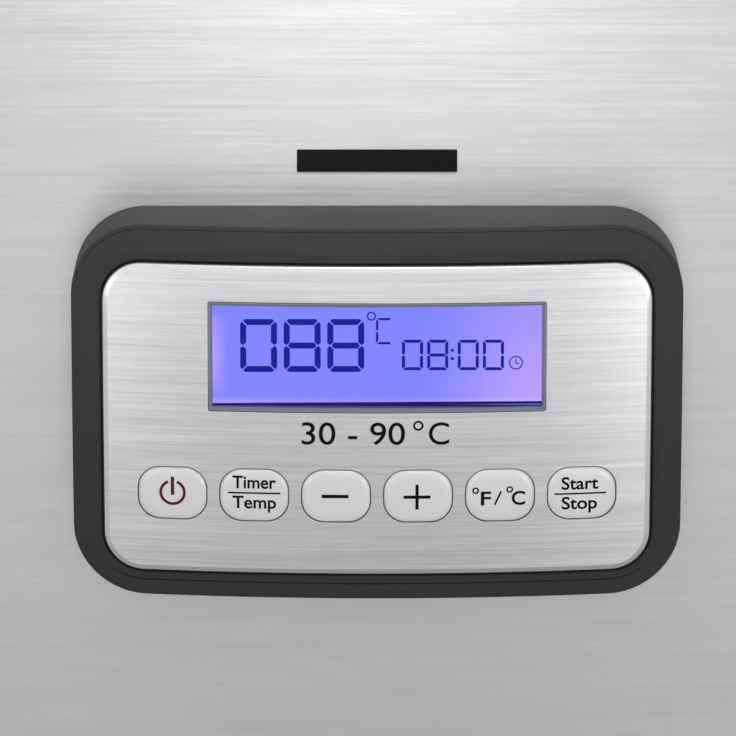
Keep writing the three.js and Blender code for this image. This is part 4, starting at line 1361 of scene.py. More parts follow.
@dataclass
class Keys(SubAssembly):
    """Six domed keys in a row, with their printed legends."""

    front: BowedFront
    names: tuple[str, ...] = ("power", "timer_temperature", "minus", "plus", "unit", "start_stop")
    width: float = 15.4
    height: float = 12.1
    radius: float = 5.0
    stem: float = 2.0
    collar: float = 1.0
    collar_depth: float = 2.1
    pitch: float = 18.6
    level: float = -18.3
    rise: float = 0.66
    ease: float = 0.6
    sunk: float = 0.05
    dome: tuple[float, ...] = (0, 0.04, 0.1, 0.18, 0.28, 0.4, 0.55, 0.75, 1.0, 1.4, 1.9, 2.5, 3.2, 4.0, 5.0)

    def places(self) -> list[Pair]:
        """The middle of each key."""
        middle = (len(self.names) - 1) / 2
        return [((k - middle) * self.pitch, self.level) for k in range(len(self.names))]

    def crown(self, inset: float | Points) -> float | Points:
        """Height of a cap above the front at a distance inside its outline."""
        return self.rise * (1 - np.exp(-np.maximum(inset, 0) / self.ease)) - self.sunk

    def over_cap(self, centre: Pair, points: Points) -> Points:
        """Height of a cap above the front at points.

        Args:
            centre: The middle of the cap.
            points: The points.

        Returns:
            The heights.
        """
        half = self.width / 2 - self.radius, self.height / 2 - self.radius
        away = np.abs(points - np.array(centre)) - half
        outside = np.linalg.norm(np.maximum(away, 0), axis=1)
        return self.crown(self.radius - outside - np.minimum(away.max(axis=1), 0))

    def cap(self, name: str, centre: Pair) -> Object:
        """One key: its stem, the collar that the plate holds in, and its domed cap.

        Args:
            name: The key's name.
            centre: Its middle on the panel.

        Returns:
            The key in its place.
        """
        x, y = centre
        shape = Outline(self.width, self.height, self.radius, centre, 12, (10, 6))
        reach = (abs(x) + self.width / 2 + self.collar, y - self.height / 2 - self.collar)
        collar_top = self.front.height(*reach) - self.collar_depth
        stem_end = self.front.wall - Extent.of(f"key_{name}").high[1]
        edge, wide = shape.loop(), shape.loop(-self.collar)
        stem = np.roll(circle(self.stem, centre, len(edge)), shape.arc + shape.along[1] // 2, axis=0)
        rings = [
            lifted(stem, stem_end), lifted(stem, collar_top - 1), lifted(wide, collar_top - 1),
            lifted(wide, collar_top), lifted(edge, collar_top),
        ]
        domed = [lifted(shape.loop(inset), self.crown(inset)) for inset in self.dome]
        skin = Skin(flat=True)
        skin.loft(rings + domed, walls=[1.0] * len(rings) + [0.0] * len(domed))
        return self.front.bend(skin, f"key_cap_{name}")

    def legend(self, name: str) -> Lettering:
        """What is printed on a key.

        Args:
            name: The key's name.

        Returns:
            The legend, about the key's middle.
        """
        marks = Lettering()
        match name:
            case "power":
                marks.arc(2.7, 0.66, (math.radians(112), math.radians(428)), (0, 0.25))
                marks.bar((0, 3.95), (0, -0.35), 0.76)
            case "timer_temperature":
                marks.words("Timer", 2.9, 9.9, (0.0, 1.75))
                marks.words("Temp", 2.9, 9.9, (0.0, -3.0))
                marks.bar((-5.95, 0.6), (5.95, 0.6), 0.38)
            case "minus":
                marks.bar((-3.3, 0.05), (2.8, 0.05), 0.8)
            case "plus":
                marks.bar((-3.3, -0.1), (-0.615, -0.1), 0.74)
                marks.bar((0.115, -0.1), (2.8, -0.1), 0.74)
                marks.bar((-0.25, -3.05), (-0.25, 2.85), 0.73)
            case "unit":
                marks.ring(0.6, 0.36, (-5.55, 1.25))
                marks.words("F", 3.2, 2.3, (-3.2, -2.2))
                marks.bar((-1.2, -2.2), (0.25, 1.0), 0.42)
                marks.ring(0.6, 0.36, (2.2, 1.4))
                marks.words("C", 3.2, 3.1, (4.2, -2.2))
            case "start_stop":
                marks.words("Start", 2.9, 8.4, (-0.4, 1.05))
                marks.words("Stop", 2.9, 8.1, (-0.5, -3.65))
                marks.bar((-6.2, 0.0), (5.6, 0.0), 0.38)
        return marks

    def build(self) -> None:
        """Makes the keys and prints them."""
        for name, centre in zip(self.names, self.places()):
            body = f"{name}_key"
            self.shop.fit(self.cap(name, centre), Slot.KEY_SILVER, body, [f"key_{name}"])
            level = partial(self.over_cap, centre)
            printed = self.legend(name).laid(f"legend_{name}", self.front, centre, level)
            self.shop.fit(printed, None, body, finish=Trim.RED_INK if name == "power" else Trim.BLACK_INK)


@dataclass
class ControlPlate(SubAssembly):
    """The brushed plate in the housing, with its polished edge, its openings and its printed line."""

    front: BowedFront
    housing: PanelHousing
    keys: Keys
    chamfer: float = 1.4
    proud: float = 0.3
    key_gap: float = 0.26
    window_gap: float = 0.15
    eased: float = 0.12
    spacing: float = 2.2

    def openings(self) -> list[Outline]:
        """The openings for the keys and for the window.

        Returns:
            Their outlines.
        """
        keys, gap = self.keys, self.key_gap
        size = keys.width + 2 * gap, keys.height + 2 * gap, keys.radius + gap
        window = self.front.drawn("display_frame", 0.6, 5, (60, 16), self.window_gap)
        return [*(Outline(*size, place, 14, (6, 2)) for place in keys.places()), window]

    def build(self) -> None:
        """Makes the plate, its edge and the print on it."""
        shape = self.front.drawn("face_plate", self.housing.plate_radius, 20, (60, 30))
        top, back = self.proud, -self.housing.plate_sink
        openings, brushed = self.openings(), shape.loop(self.chamfer)
        holes = [opening.outline(-self.eased) for opening in openings]
        inner = seeds(brushed, holes, self.spacing)
        plate = Skin(flat=True)
        for level in (top, back):
            plate.face(brushed, holes, level, inner)
        plate.loft([lifted(brushed, top), lifted(brushed, back)], capped=False)
        for opening in openings:
            plate.tunnel(opening, top, back, self.eased)
        self.shop.fit(self.front.bend(plate, "control_plate"), Slot.BRUSHED_PLATE, replaces=["face_plate"])

        edge = Skin(flat=True)
        inner = self.chamfer
        section = [(0.05, back), (0, back), (0, -0.42), (0.36, 0.06), (inner, top), (inner, back)]
        edge.loft(shape.rings(softened(section, [0, 0, 0.1, 0.14, 0, 0], 4, closed=True)), joined=True)
        polished = self.front.bend(edge, "plate_polished_edge")
        self.shop.fit(polished, Slot.BRUSHED_PLATE, finish=Trim.POLISHED_EDGE)

        title = Lettering()
        title.words("30 - 90", 5.1, 23.4, (-5.4, 0), 0.004)
        title.ring(0.95, 0.46, (9.3, 4.4))
        title.words("C", 5.1, 4.6, (14.0, 0), 0.004)
        printed = title.laid("range_print", self.front, (0.0, -6.05), lambda points: top)
        self.shop.fit(printed, None, finish=Trim.BLACK_INK)


@dataclass(frozen=True)
class Digit:
    """A seven-segment digit. Its segments are copies of three patterns."""

    width: float
    height: float
    thickness: float
    gap: float

    def patterns(self) -> dict[str, Points]:
        """The three patterns, about the digit's middle.

        Returns:
            The outlines of the top segment, the upper right one and the middle one.
        """
        x, y, t = self.width / 2, self.height / 2, self.thickness
        d, cut, seam = self.gap / 2, 0.75 * self.thickness, 0.38 * self.thickness
        top = [
            (-x + cut + d, y), (x - cut - d, y), (x - seam - d, y - seam + d), (x - t - 2 * d, y - t),
            (-x + t + 2 * d, y - t), (-x + seam + d, y - seam + d),
        ]
        right = [
            (x - seam + d, y - seam - d), (x, y - cut - d), (x, d + 0.35 * t), (x - 0.45 * t, d),
            (x - t, d + 0.5 * t), (x - t, y - t - 2 * d),
        ]
        middle = [
            (-x + 0.6 * t + d, 0), (-x + t + d, -t / 2), (x - t - d, -t / 2), (x - 0.6 * t - d, 0),
            (x - t - d, t / 2), (-x + t + d, t / 2),
        ]
        return {"top": np.array(top)[::-1], "right": np.array(right)[::-1], "middle": np.array(middle)}

    def row(self, text: str, places: Sequence[Pair], film: float, copies: CopyTree) -> list[Object]:
        """The digits of a text.

        Args:
            text: One digit, or C, for each place.
            places: The middle of each digit.
            film: Thickness of the segments.
            copies: The tree that lays them.

        Returns:
            One piece for each pattern that the text uses.
        """
        half = math.pi
        turned = {
            "top": {"top": (0, 0, 0), "bottom": (0, 0, half)},
            "right": {"upper right": (0, 0, 0), "upper left": (0, half, 0), "lower right": (half, 0, 0),
                      "lower left": (0, 0, half)},
            "middle": {"middle": (0, 0, 0)},
        }
        unlit = {"0": ["middle"], "8": [], "C": ["middle", "upper right", "lower right"]}
        made = []
        for pattern, outline in self.patterns().items():
            laid = [
                ((*place, film if turn[0] or turn[1] else 0.0), turn)
                for letter, place in zip(text, places)
                for segment, turn in turned[pattern].items() if segment not in unlit[letter]
            ]
            if laid:
                skin = Skin()
                skin.loft([lifted(outline, z) for z in (0, film)])
                shape, finish = skin.object(f"segment_{pattern}"), material_of(Trim.SEGMENTS)
                spots, turns = zip(*laid)
                made.append(copies.lay(f"segments_{pattern}", shape, spots, finish, turns))
        return made


@dataclass
class Display(SubAssembly):
    """The window in the plate: its sloping frame, the lens and the numbers of the lit cell behind it."""

    front: BowedFront
    radius: float = 0.5
    slope: float = 0.85
    gasket: float = 0.4
    sunk: float = 0.5
    seat: float = -0.8
    proud: float = 0.3
    film: float = 0.05
    lens_gap: float = 0.04
    lens_top: float = -0.7
    raised: float = 1.07

    def behind(self, node: str) -> float:
        """Distance of the back of a CAD node from the wall."""
        return self.front.wall - Extent.of(node).high[1]

    def build(self) -> None:
        """Makes the frame, the lens and the numbers."""
        self.frame()
        self.lens()
        self.numbers()
        self.shop.keep("display_glass", Slot.LIT_DISPLAY)

    def frame(self) -> None:
        """The sloping frame round the window, and a dark lining inside it, below the frame's seat, that is
        painted shade of the window's tunnel wall.
        """
        shape = self.front.drawn("display_frame", self.radius, 5, (60, 16))
        back, proud, seat = self.behind("display_frame"), self.proud, self.seat
        inner, foot = self.gasket, self.slope
        slope = softened([(0, -1.5), (0, proud), (0.25, proud), (foot, -self.sunk), (foot, seat)],
                         [0, 0.12, 0.12, 0.1, 0], 3)
        section = [(0, back), *slope[1:], (inner, seat), (inner, back)]
        # The lining is dark moulding that stands in for the shade on the tunnel wall: painted shade.
        shade_lining = [(inner, back), (inner, seat), (foot, seat), (foot, back)]
        for name, slot, nodes, line in (
            ("display_surround", Slot.DISPLAY_TRIM, ["display_frame"], section),
            ("display_gasket", Slot.DARK_MOULDING, [], shade_lining),
        ):
            skin = Skin(flat=True)
            skin.loft(shape.rings(line, 0.12), joined=True, walls=footed(line))
            self.shop.fit(self.front.bend(skin, name), slot, replaces=nodes)

    def lens(self) -> None:
        """The clear lens, flat behind and bowed in front."""
        back, margin = self.behind("display_lens"), -self.slope - self.lens_gap
        fine = self.front.drawn("display_frame", self.radius, 4, (40, 12), margin).outline()
        inner = seeds(fine, [], 2.5)
        skin = Skin(flat=True)
        skin.face(fine, [], self.lens_top, inner)
        skin.face(fine, [], back, inner, wall=1.0)
        skin.loft([lifted(fine, self.lens_top), lifted(fine, back)], capped=False, walls=[0.0, 1.0])
        made = self.front.bend(skin, "display_window")
        self.shop.fit(made, Slot.CLEAR_GLASS, replaces=["display_lens"], finish=Trim.LENS)

    def marks(self) -> Object:
        """The degree sign, the clock face and the dots between hours and minutes.

        Returns:
            The marks, lying flat.
        """
        marks = Skin()
        section = [(-1, 0), (1, 0), (1, 1), (-1, 1)]
        for centre, radius, thickness in (((-1.3, 7.8), 0.88, 0.3), ((31.4, -3.0), 1.45, 0.26)):
            marks.loft([
                lifted(circle(radius + side * thickness / 2, centre), up * self.film) for side, up in section
            ], joined=True)
        hands = [((31.4, -2.0), (31.4, -3.2)), ((31.4, -3.2), (32.2, -3.2))]
        dots = [((17.0, 0.25), (17.0, -0.4)), ((17.0, -1.7), (17.0, -2.35))]
        for (start, end), thickness in zip(hands + dots, (0.22, 0.22, 0.66, 0.66)):
            right, left = stroke(start, end, thickness)
            marks.loft([lifted(np.concatenate((right, left[::-1])), z) for z in (0, self.film)])
        return marks.object("display_marks")

    def numbers(self) -> None:
        """Three large digits, a unit, four small digits and a clock face, as on any such display."""
        node = Extent.of("display_glass")
        rows = (
            (Digit(8.35, 12.3, 1.38, 0.2), "088", [(-26.8, 1.0), (-16.95, 1.0), (-7.1, 1.0)]),
            (Digit(4.78, 7.1, 0.72, 0.14), "0800", [(8.0, -1.2), (13.7, -1.2), (20.6, -1.2), (26.3, -1.2)]),
            (Digit(3.72, 6.1, 0.52, 0.22), "C", [(1.6, 4.35)]),
        )
        digits = [digit.row(text, places, self.film, self.shop.copies) for digit, text, places in rows]
        whole = joined("display_numbers", [*sum(digits, []), self.marks()])
        flat = np.array([v.co for v in whole.data.vertices]) / MM
        origin = node.centre[0], node.low[1], node.centre[2] + self.raised
        stood = flat[:, [0, 2, 1]] * (1, -1, 1) + origin
        whole.data.vertices.foreach_set("co", (stood * MM).astype(np.float32).ravel())
        self.shop.fit(closed(whole), Slot.LIT_DISPLAY, finish=Trim.SEGMENTS)


# ---------------- the steel sleeve


@dataclass
class SteelSleeve(SubAssembly):
    """The brushed sleeve: one sheet folded round, with its seam, louvres and inlet cut-out behind."""

    node: Extent = field(default_factory=lambda: Extent.of("casing_wrap"))
    radius: float = 34.0
    sheet: float = 1.0
    seam: float = 0.6
    ease: float = 0.2
    corner_steps: int = 22
    louvre: Rounded = (3.4, 26.0, 1.69)
    louvre_span: Pair = (-126.0, -56.0)
    louvre_count: int = 9
    inlet: Rounded = (27.6, 20.0, 1.0)

    @property
    def legs(self) -> list[float]:
        """Lengths of the straight runs and of the corners between them, round from the seam."""
        (x, y), corner = self.node.size[:2] - 2 * self.radius, self.radius * math.pi / 2
        return [x / 2, corner, y, corner, x, corner, y, corner, x / 2]

    def build(self) -> None:
        """Makes the sleeve."""
        socket = Extent.of("inlet_socket")
        starts = np.concatenate(([0], np.cumsum(self.legs)))
        total = starts[-1]
        folds = np.concatenate([
            np.linspace(starts[leg], starts[leg + 1], self.corner_steps + 1) for leg in (1, 3, 5, 7)
        ])
        low, high = self.node.low[2], self.node.high[2]
        foot = np.array([self.seam / 2, *folds, total - self.seam / 2])
        outline = np.concatenate((lifted(foot, low), lifted(foot[::-1], high)))
        rules = [np.array([(run, low), (run, high)]) for run in folds]
        level = socket.centre[2]
        openings = [
            Outline(*self.louvre, (-x, level + 1)) for x in np.linspace(*self.louvre_span, self.louvre_count)
        ]
        openings.append(Outline(*self.inlet, (total - socket.centre[0], level)))
        holes = [opening.outline(-self.ease) for opening in openings]
        skin = Skin()
        for depth in (0.0, -self.sheet):
            skin.face(outline, holes, depth, rules=rules)
        skin.loft([lifted(outline, 0.0), lifted(outline, -self.sheet)], capped=False)
        for opening in openings:
            skin.tunnel(opening, 0.0, -self.sheet, self.ease)
        sleeve = skin.object("steel_sleeve", self.folded)
        self.shop.fit(sleeve, Slot.BRUSHED_STEEL, replaces=["casing_wrap"])

    def folded(self, points: Points) -> Points:
        """Where points of the flat sheet go when it is folded round.

        Args:
            points: Run along the sheet from the seam, height, and distance out of its outer face.

        Returns:
            The same points in the row frame.
        """
        run, height, out = points.T
        result = np.zeros((len(points), 2))
        spot, angle, start = np.array((0.0, self.node.size[1] / 2)), math.pi / 2, 0.0
        for leg, length in enumerate(self.legs):
            inside = (run >= start - 1e-9) & (run <= start + length + 1e-9)
            along, reach = run[inside, None] - start, out[inside, None]
            outward = spokes(angle)
            if leg % 2 == 0:
                head = np.array((-outward[1], outward[0]))
                result[inside] = spot + along * head + reach * outward
                spot = spot + length * head
            else:
                centre = spot - self.radius * outward
                result[inside] = centre + spokes(angle + along[:, 0] / self.radius) * (self.radius + reach)
                angle += math.pi / 2
                spot = centre + self.radius * spokes(angle)
            start += length
        return lifted(result + self.node.centre[:2], height)


@dataclass
class BarePlate(SubAssembly):
    """The bare black plate on the sleeve, above the panel."""

    width: float = 36.6
    height: float = 5.2
    radius: float = 0.25
    level: float = 168.0
    thickness: float = 0.55
    ease: float = 0.12

    def build(self) -> None:
        """Makes the plate."""
        wall = Extent.of("casing_wrap").low[1]
        skin = Skin()
        blank = Outline(self.width, self.height, self.radius, (0.0, self.level), 4)
        skin.slab(blank, [], self.thickness, 0.0, self.ease)
        made = skin.object("bare_plate", lambda points: points[:, [0, 2, 1]] * (1, -1, 1) + (0, wall, 0))
        self.shop.fit(made, Slot.DARK_MOULDING, finish=Trim.ENAMEL)


# ---------------- mouldings, tank and lid


@dataclass(frozen=True)
class ScrewHead:
    """A pan-head screw with a cross recess."""

    radius: float
    height: float
    length: float
    shank: float

    def pattern(self) -> Object:
        """The screw on the Z axis, its head below z = 0 and its shank above.

        Returns:
            An object to copy.
        """
        face, steps = 0.72 * self.radius, 32
        reach, arm = 0.55 * self.radius, 0.13 * self.radius
        quarter = np.array([(arm, arm), (arm, reach), (-arm, reach)])
        turns = [spokes(k * math.pi / 2) for k in range(4)]
        recess = np.concatenate([quarter @ np.array([(c, s), (-s, c)]) for c, s in turns])
        narrowed = recess * 0.86
        skin = Skin()
        skin.face(circle(face, steps=steps), [recess], -self.height)
        skin.loft([lifted(recess, -self.height), lifted(narrowed, -0.35 * self.height)], capped=False)
        skin.face(narrowed, [], -0.35 * self.height)
        dome = softened([
            (face, -self.height), (0.97 * self.radius, -0.82 * self.height), (self.radius, 0),
            (self.shank, 0), (self.shank, self.length),
        ], [0, 0.25 * self.radius, 0.05, 0.05, 0], 4)
        skin.loft([lifted(circle(radius, steps=steps), z) for radius, z in dome], capped=False)
        skin.face(circle(self.shank, steps=steps), [], self.length)
        return skin.object("screw_pattern")


@dataclass
class Base(SubAssembly):
    """The base moulding with its vents, its feet and its screws."""

    case: Outline = field(default_factory=lambda: Outline.plan(Extent.of("casing_wrap"), 34.0))
    low: float = field(default_factory=lambda: Extent.of("base_tray").low[2])
    lip: float = 1.3
    floor: float = 3.0
    ease: float = 0.35
    vent: Rounded = (5.0, 34.0, 2.49)
    vent_reach: Pair = (44.0, 78.0)
    vents_in_row: int = 5
    boss: Pair = (157.0, 78.0)
    well_radius: float = 4.0
    well_depth: float = 4.2
    screw: ScrewHead = ScrewHead(3.4, 2.4, 12.0, 1.7)
    screw_seat: float = 2.6
    foot: Pair = (132.0, 92.0)
    corners: tuple[str, ...] = ("front_left", "front_right", "rear_left", "rear_right")

    def build(self) -> None:
        """Makes the tray, the feet and the screws."""
        self.tray()
        self.feet()
        level = Extent.of("base_screw_front_left").low[2] + self.screw_seat
        nodes = [f"base_screw_{corner}" for corner in self.corners]
        places = at_corners(self.case.centre, self.boss, level)
        self.shop.lay("base_screws", self.screw.pattern(), places, Slot.SCREW_STEEL, replaces=nodes)

    def tray(self) -> None:
        """The tray, with vents through its floor and a blind well for each screw."""
        at, low, ease = self.case.at, self.low, self.ease
        seat, floor = Extent.of("casing_wrap").low[2], self.low + self.floor
        section = [
            at(5, low), at(-0.5, low + 2), at(-2, low + 7), at(-2, seat - 1), at(-1.5, seat),
            at(self.lip, seat), at(self.lip, seat + 9), at(4, seat + 9), at(4, floor),
        ]
        tray = Skin()
        tray.loft(swept(section, self.case.centre, [0, 2, 1.5, 0.5, 0.4, 0.2, 0.6, 0.6, 0], 5), capped=False)
        x, y = self.case.centre
        reach, depth = self.vent_reach
        row = np.linspace(x - reach, x + reach, self.vents_in_row)
        vents = [Outline(*self.vent, (a, y + side * depth)) for a in row for side in SIDES]
        wells = [
            Outline.round(self.well_radius, place[:2]) for place in at_corners(self.case.centre, self.boss)
        ]
        slots = [vent.outline(-ease) for vent in vents]
        tray.face(self.case.loop(5), [*slots, *(well.outline(-ease) for well in wells)], low)
        tray.face(self.case.loop(4), slots, floor)
        for vent in vents:
            tray.tunnel(vent, floor, low, ease)
        for well in wells:
            bore = softened([(-ease, low), (0, low), (0, low + self.well_depth)], [0, ease, 0], 3)
            tray.loft(well.rings(bore), capped=False)
            tray.face(well.outline(), [], low + self.well_depth)
        self.shop.fit(tray.object("base_moulding"), Slot.BLACK_MOULDING, replaces=["base_tray"])

    def feet(self) -> None:
        """The rubber feet."""
        foot = Skin()
        foot.turned(softened([
            (0, 0.0), (9.5, 0), (10.6, 1.2), (11.2, 3.4), (10.6, 3.9), (10.6, 4.5), (11.4, 5.0),
            (12, self.low), (0, self.low),
        ], [0, 0.5, 0.4, 0.25, 0.2, 0.2, 0.25, 0.3, 0], 4), steps=40)
        nodes = [f"foot_{corner}" for corner in self.corners]
        places = at_corners(self.case.centre, self.foot)
        self.shop.lay("rubber_feet", foot.object("foot_pattern"), places, Slot.RUBBER, replaces=nodes)


@dataclass
class TopRim(SubAssembly):
    """The black rim that carries the tank."""

    overhang: float = 3.0
    radius: float = 37.0
    sheet: float = 1.2

    def build(self) -> None:
        """Makes the rim."""
        case, tank = Extent.of("casing_wrap"), Extent.of("tank")
        top, foot, ledge = Extent.of("top_rim").high[2], case.high[2], tank.high[2] - self.sheet
        edge = Outline.plan(case, self.radius, self.overhang).at
        seat, throat = Outline.plan(tank, 50.0, 0.5), Outline.plan(tank, 44.5, -5.5)
        section = [
            edge(0, foot - 5), edge(0, top - 4), edge(0.9, top - 1.2), edge(3, top), seat.at(0, top),
            seat.at(0, ledge), throat.at(0, ledge), throat.at(0, ledge - 5), edge(6.8, ledge - 5),
            edge(6.8, foot - 11), edge(4.3, foot - 11), edge(4.3, foot), edge(2.7, foot), edge(2.7, foot - 5),
        ]
        cuts = [0.5, 2, 1.6, 1.6, 0.7, 0, 0.5, 0.5, 0, 0, 0, 0, 0, 0.4]
        skin = Skin()
        skin.loft(swept(section, case.centre, cuts, 5, closed=True), joined=True)
        self.shop.fit(skin.object("rim_moulding"), Slot.BLACK_MOULDING, replaces=["top_rim"])


@dataclass
class Tank(SubAssembly):
    """The deep-drawn tank, its perforated false floor, and the impeller with its seal."""

    wall: float = 1.2
    seal_radius: float = 7.2
    probe_radius: float = 3.4
    floor_plate: Rounded = (254, 176, 24)
    floor_rise: float = 21.5
    floor_sheet: float = 1.5
    floor_slot: Rounded = (10, 42, 4.99)
    slots_reach: Pair = (100, 54)
    leg_width: float = 18.0
    leg_radius: float = 1.5
    leg_reach: Pair = (122, 50)
    tab: Rounded = (16, 22, 5)
    tab_reach: float = 124.0
    finger_hole: Rounded = (9, 7, 3.4)
    shaft_radius: float = 3.0
    hub_radius: float = 7.5
    disc_radius: float = 26.0
    disc_rise: float = 13.4
    blade_bow: float = 15.0
    blade_thickness: float = 1.6
    blades: int = 6

    def build(self) -> None:
        """Makes the tank and what stands in it."""
        self.shell()
        self.false_floor()
        self.impeller()
        self.seal()

    def shell(self) -> None:
        """The drawn shell."""
        node, probe = Extent.of("tank"), Extent.of("temperature_probe")
        low, flange, wall = node.low[2], node.high[2] - self.wall, self.wall
        steps = [
            (Outline.plan(node, radius, -inset), level) for inset, radius, level in (
                (26, 24, low), (20, 30, low + 1.5), (16, 36, low + 6.5), (14, 39, low + 15),
                (8, 42.5, flange - 2), (7, 43.5, flange),
            )
        ]
        rim = Outline.plan(node, 49.5)
        section = [
            *(step.at(0, level) for step, level in steps), rim.at(0, flange), rim.at(0, flange + wall),
            *(step.at(wall, level + wall) for step, level in steps[::-1]),
        ]
        skin = Skin()
        cuts = [0, 4, 4, 4, 3, 0.8, 0.3, 0.3, 0.8, 3, 4, 4, 4, 0]
        skin.loft(swept(section, node.centre, cuts, 6), capped=False)
        bores = ((self.seal_radius, node), (self.probe_radius, probe))
        holes = [Outline.round(radius, place.centre[:2]) for radius, place in bores]
        for inset in (0, wall):
            skin.face(steps[0][0].loop(inset), [hole.outline() for hole in holes], low + inset)
        for hole in holes:
            skin.loft([lifted(hole.outline(), z) for z in (low, low + wall)], capped=False)
        self.shop.fit(skin.object("tank_shell"), Slot.DRAWN_STEEL, replaces=["tank"])

    def false_floor(self) -> None:
        """The lift-out floor: slotted plate, folded legs and lift tabs."""
        node = Extent.of("false_floor")
        x, y, foot = node.centre[0], Extent.of("tank").centre[1], node.low[2]
        level = foot + self.floor_rise
        (wide, deep), (leg_x, leg_y) = self.slots_reach, self.leg_reach
        spots = [(x + a, y + b) for a in np.linspace(-wide, wide, 6) for b in (-deep, 0, deep)]
        slots = [Outline(*self.floor_slot, spot) for spot in spots]
        skin = Skin()
        skin.slab(Outline(*self.floor_plate, (x, y), 16), slots, level + self.floor_sheet, level, 0.3)
        finger = Outline(*self.finger_hole, (y, level + 14))
        for side in SIDES:
            for end in SIDES:
                middle = y + end * leg_y, (level + foot) / 2
                leg = Outline(self.leg_width, level + 0.6 - foot, self.leg_radius, middle, 4)
                self.stand(skin, leg, [], x + side * leg_x)
            self.stand(skin, Outline(*self.tab, (y, level + 10)), [finger], x + side * self.tab_reach)
        self.shop.fit(skin.object("slotted_floor"), Slot.DRAWN_STEEL, replaces=["false_floor"])

    def stand(self, skin: Skin, outline: Outline, openings: Sequence[Outline], x: float) -> None:
        """Adds a leg or a tab, 2 mm thick, that stands across the bath.

        Args:
            skin: What it is added to.
            outline: Its outline, seen along the first axis.
            openings: Its openings.
            x: Its middle on the first axis.
        """
        tab = Skin()
        tab.slab(outline, openings, 1.0, -1.0, 0.3)
        skin.add(np.concatenate(tab.points)[:, [2, 0, 1]] + (x, 0, 0), tab.faces)

    def impeller(self) -> None:
        """The impeller: a disc, a hub on the shaft and curved blades."""
        node = Extent.of("impeller")
        x, y, _ = node.centre
        foot, floor, top = node.low[2], node.low[2] + self.disc_rise, node.high[2]
        shaft, hub, rim, bow = self.shaft_radius, self.hub_radius, self.disc_radius, self.blade_bow
        disc = Skin()
        disc.turned(softened([
            (0, foot), (shaft, foot), (shaft, floor), (rim, floor), (rim, floor + 1.6), (hub, floor + 1.6),
            (hub, top - 3), (hub - 2.5, top), (0, top),
        ], [0, 0.3, 0, 0.5, 0.5, 1.2, 1.2, 1.2, 0], 4), (x, y))
        sweep = spokes(np.linspace(-0.25, 1.05, 14))
        outline = np.concatenate((sweep * bow, (sweep * (bow - self.blade_thickness))[::-1])) + (-1, -11)
        blade = Skin()
        blade.loft([lifted(outline, z) for z in (floor + 1, top - 3.4, top - 3)])
        turns = [(0, 0, k * math.tau / self.blades) for k in range(self.blades)]
        finish, pattern = material_of(Slot.DARK_MOULDING), blade.object("blade_pattern")
        blades = self.shop.copies.lay("blades", pattern, [(x, y, 0)] * self.blades, finish, turns)
        whole = joined("impeller_wheel", [disc.object("disc"), blades])
        self.shop.fit(whole, Slot.DARK_MOULDING, "impeller", ["impeller"])

    def seal(self) -> None:
        """The lip seal round the shaft."""
        node = Extent.of("shaft_seal")
        low, top = node.low[2], node.high[2]
        profile = softened([
            (3.08, low), (7, low), (7, top - 1.5), (10, top - 1.5), (9.4, top), (5.2, top), (4.2, top - 0.5),
            (3.08, top),
        ], [0, 0.3, 0, 0.4, 0.5, 0.3, 0.3, 0], 4)
        skin = Skin()
        skin.loft([lifted(circle(radius, node.centre[:2]), z) for radius, z in profile], joined=True)
        self.shop.fit(skin.object("lip_seal"), Slot.RUBBER, replaces=["shaft_seal"])


@dataclass(frozen=True)
class BridgeHandle:
    """A bridge handle: a bar on two posts, all in one soft-edged moulding."""

    span: float
    rise: float
    bar: float
    post: float
    width: float
    bend: float

    def made(self, name: str, place: Callable[[Points], Points]) -> Object:
        """The handle.

        Args:
            name: Its name.
            place: Takes points along the span, up the rise and across the width to the row frame.

        Returns:
            The handle in its place.
        """
        foot, crest = (self.span - self.post) / 2, self.rise - self.bar / 2
        line = softened([(-foot, 0), (-foot, crest), (foot, crest), (foot, 0)], self.bend, 16)
        dense = []
        for start, end in zip(line, line[1:]):
            steps = max(1, int(np.linalg.norm(end - start) / 3))
            dense += [start + (end - start) * k / steps for k in range(steps)]
        path = np.array([*dense, line[-1]])
        heads = np.gradient(path, axis=0)
        heads /= np.linalg.norm(heads, axis=1)[:, None]
        rings = []
        for (u, v), (du, dv) in zip(path, heads):
            thick = self.post + (self.bar - self.post) * smooth(v / crest)
            across, along = Outline(thick, self.width, 0.46 * self.bar, along=(2, 3)).loop().T
            rings.append(place(np.column_stack((u - dv * across, v + du * across, along))))
        skin = Skin()
        skin.loft(rings)
        return skin.object(name)


@dataclass
class CarryingHandles(SubAssembly):
    """The two carrying handles on the sides."""

    handle: BridgeHandle = BridgeHandle(128, 28, 9, 15, 20, 15)

    def build(self) -> None:
        """Makes both handles."""
        for side, name in ((1, "right"), (-1, "left")):
            node = Extent.of(f"carry_handle_{name}")
            tip = node.high[0] if side > 0 else node.low[0]
            made = self.handle.made(f"side_handle_{name}", partial(self.stood, tip, side, node.centre))
            self.shop.fit(made, Slot.BLACK_MOULDING, replaces=[f"carry_handle_{name}"])

    def stood(self, tip: float, side: int, middle: Points, points: Points) -> Points:
        """Points of a handle, stood on its side wall."""
        run, up, across = (points - (0, self.handle.rise, 0)).T
        return np.column_stack((tip + side * up, run * side + middle[1], across + middle[2]))


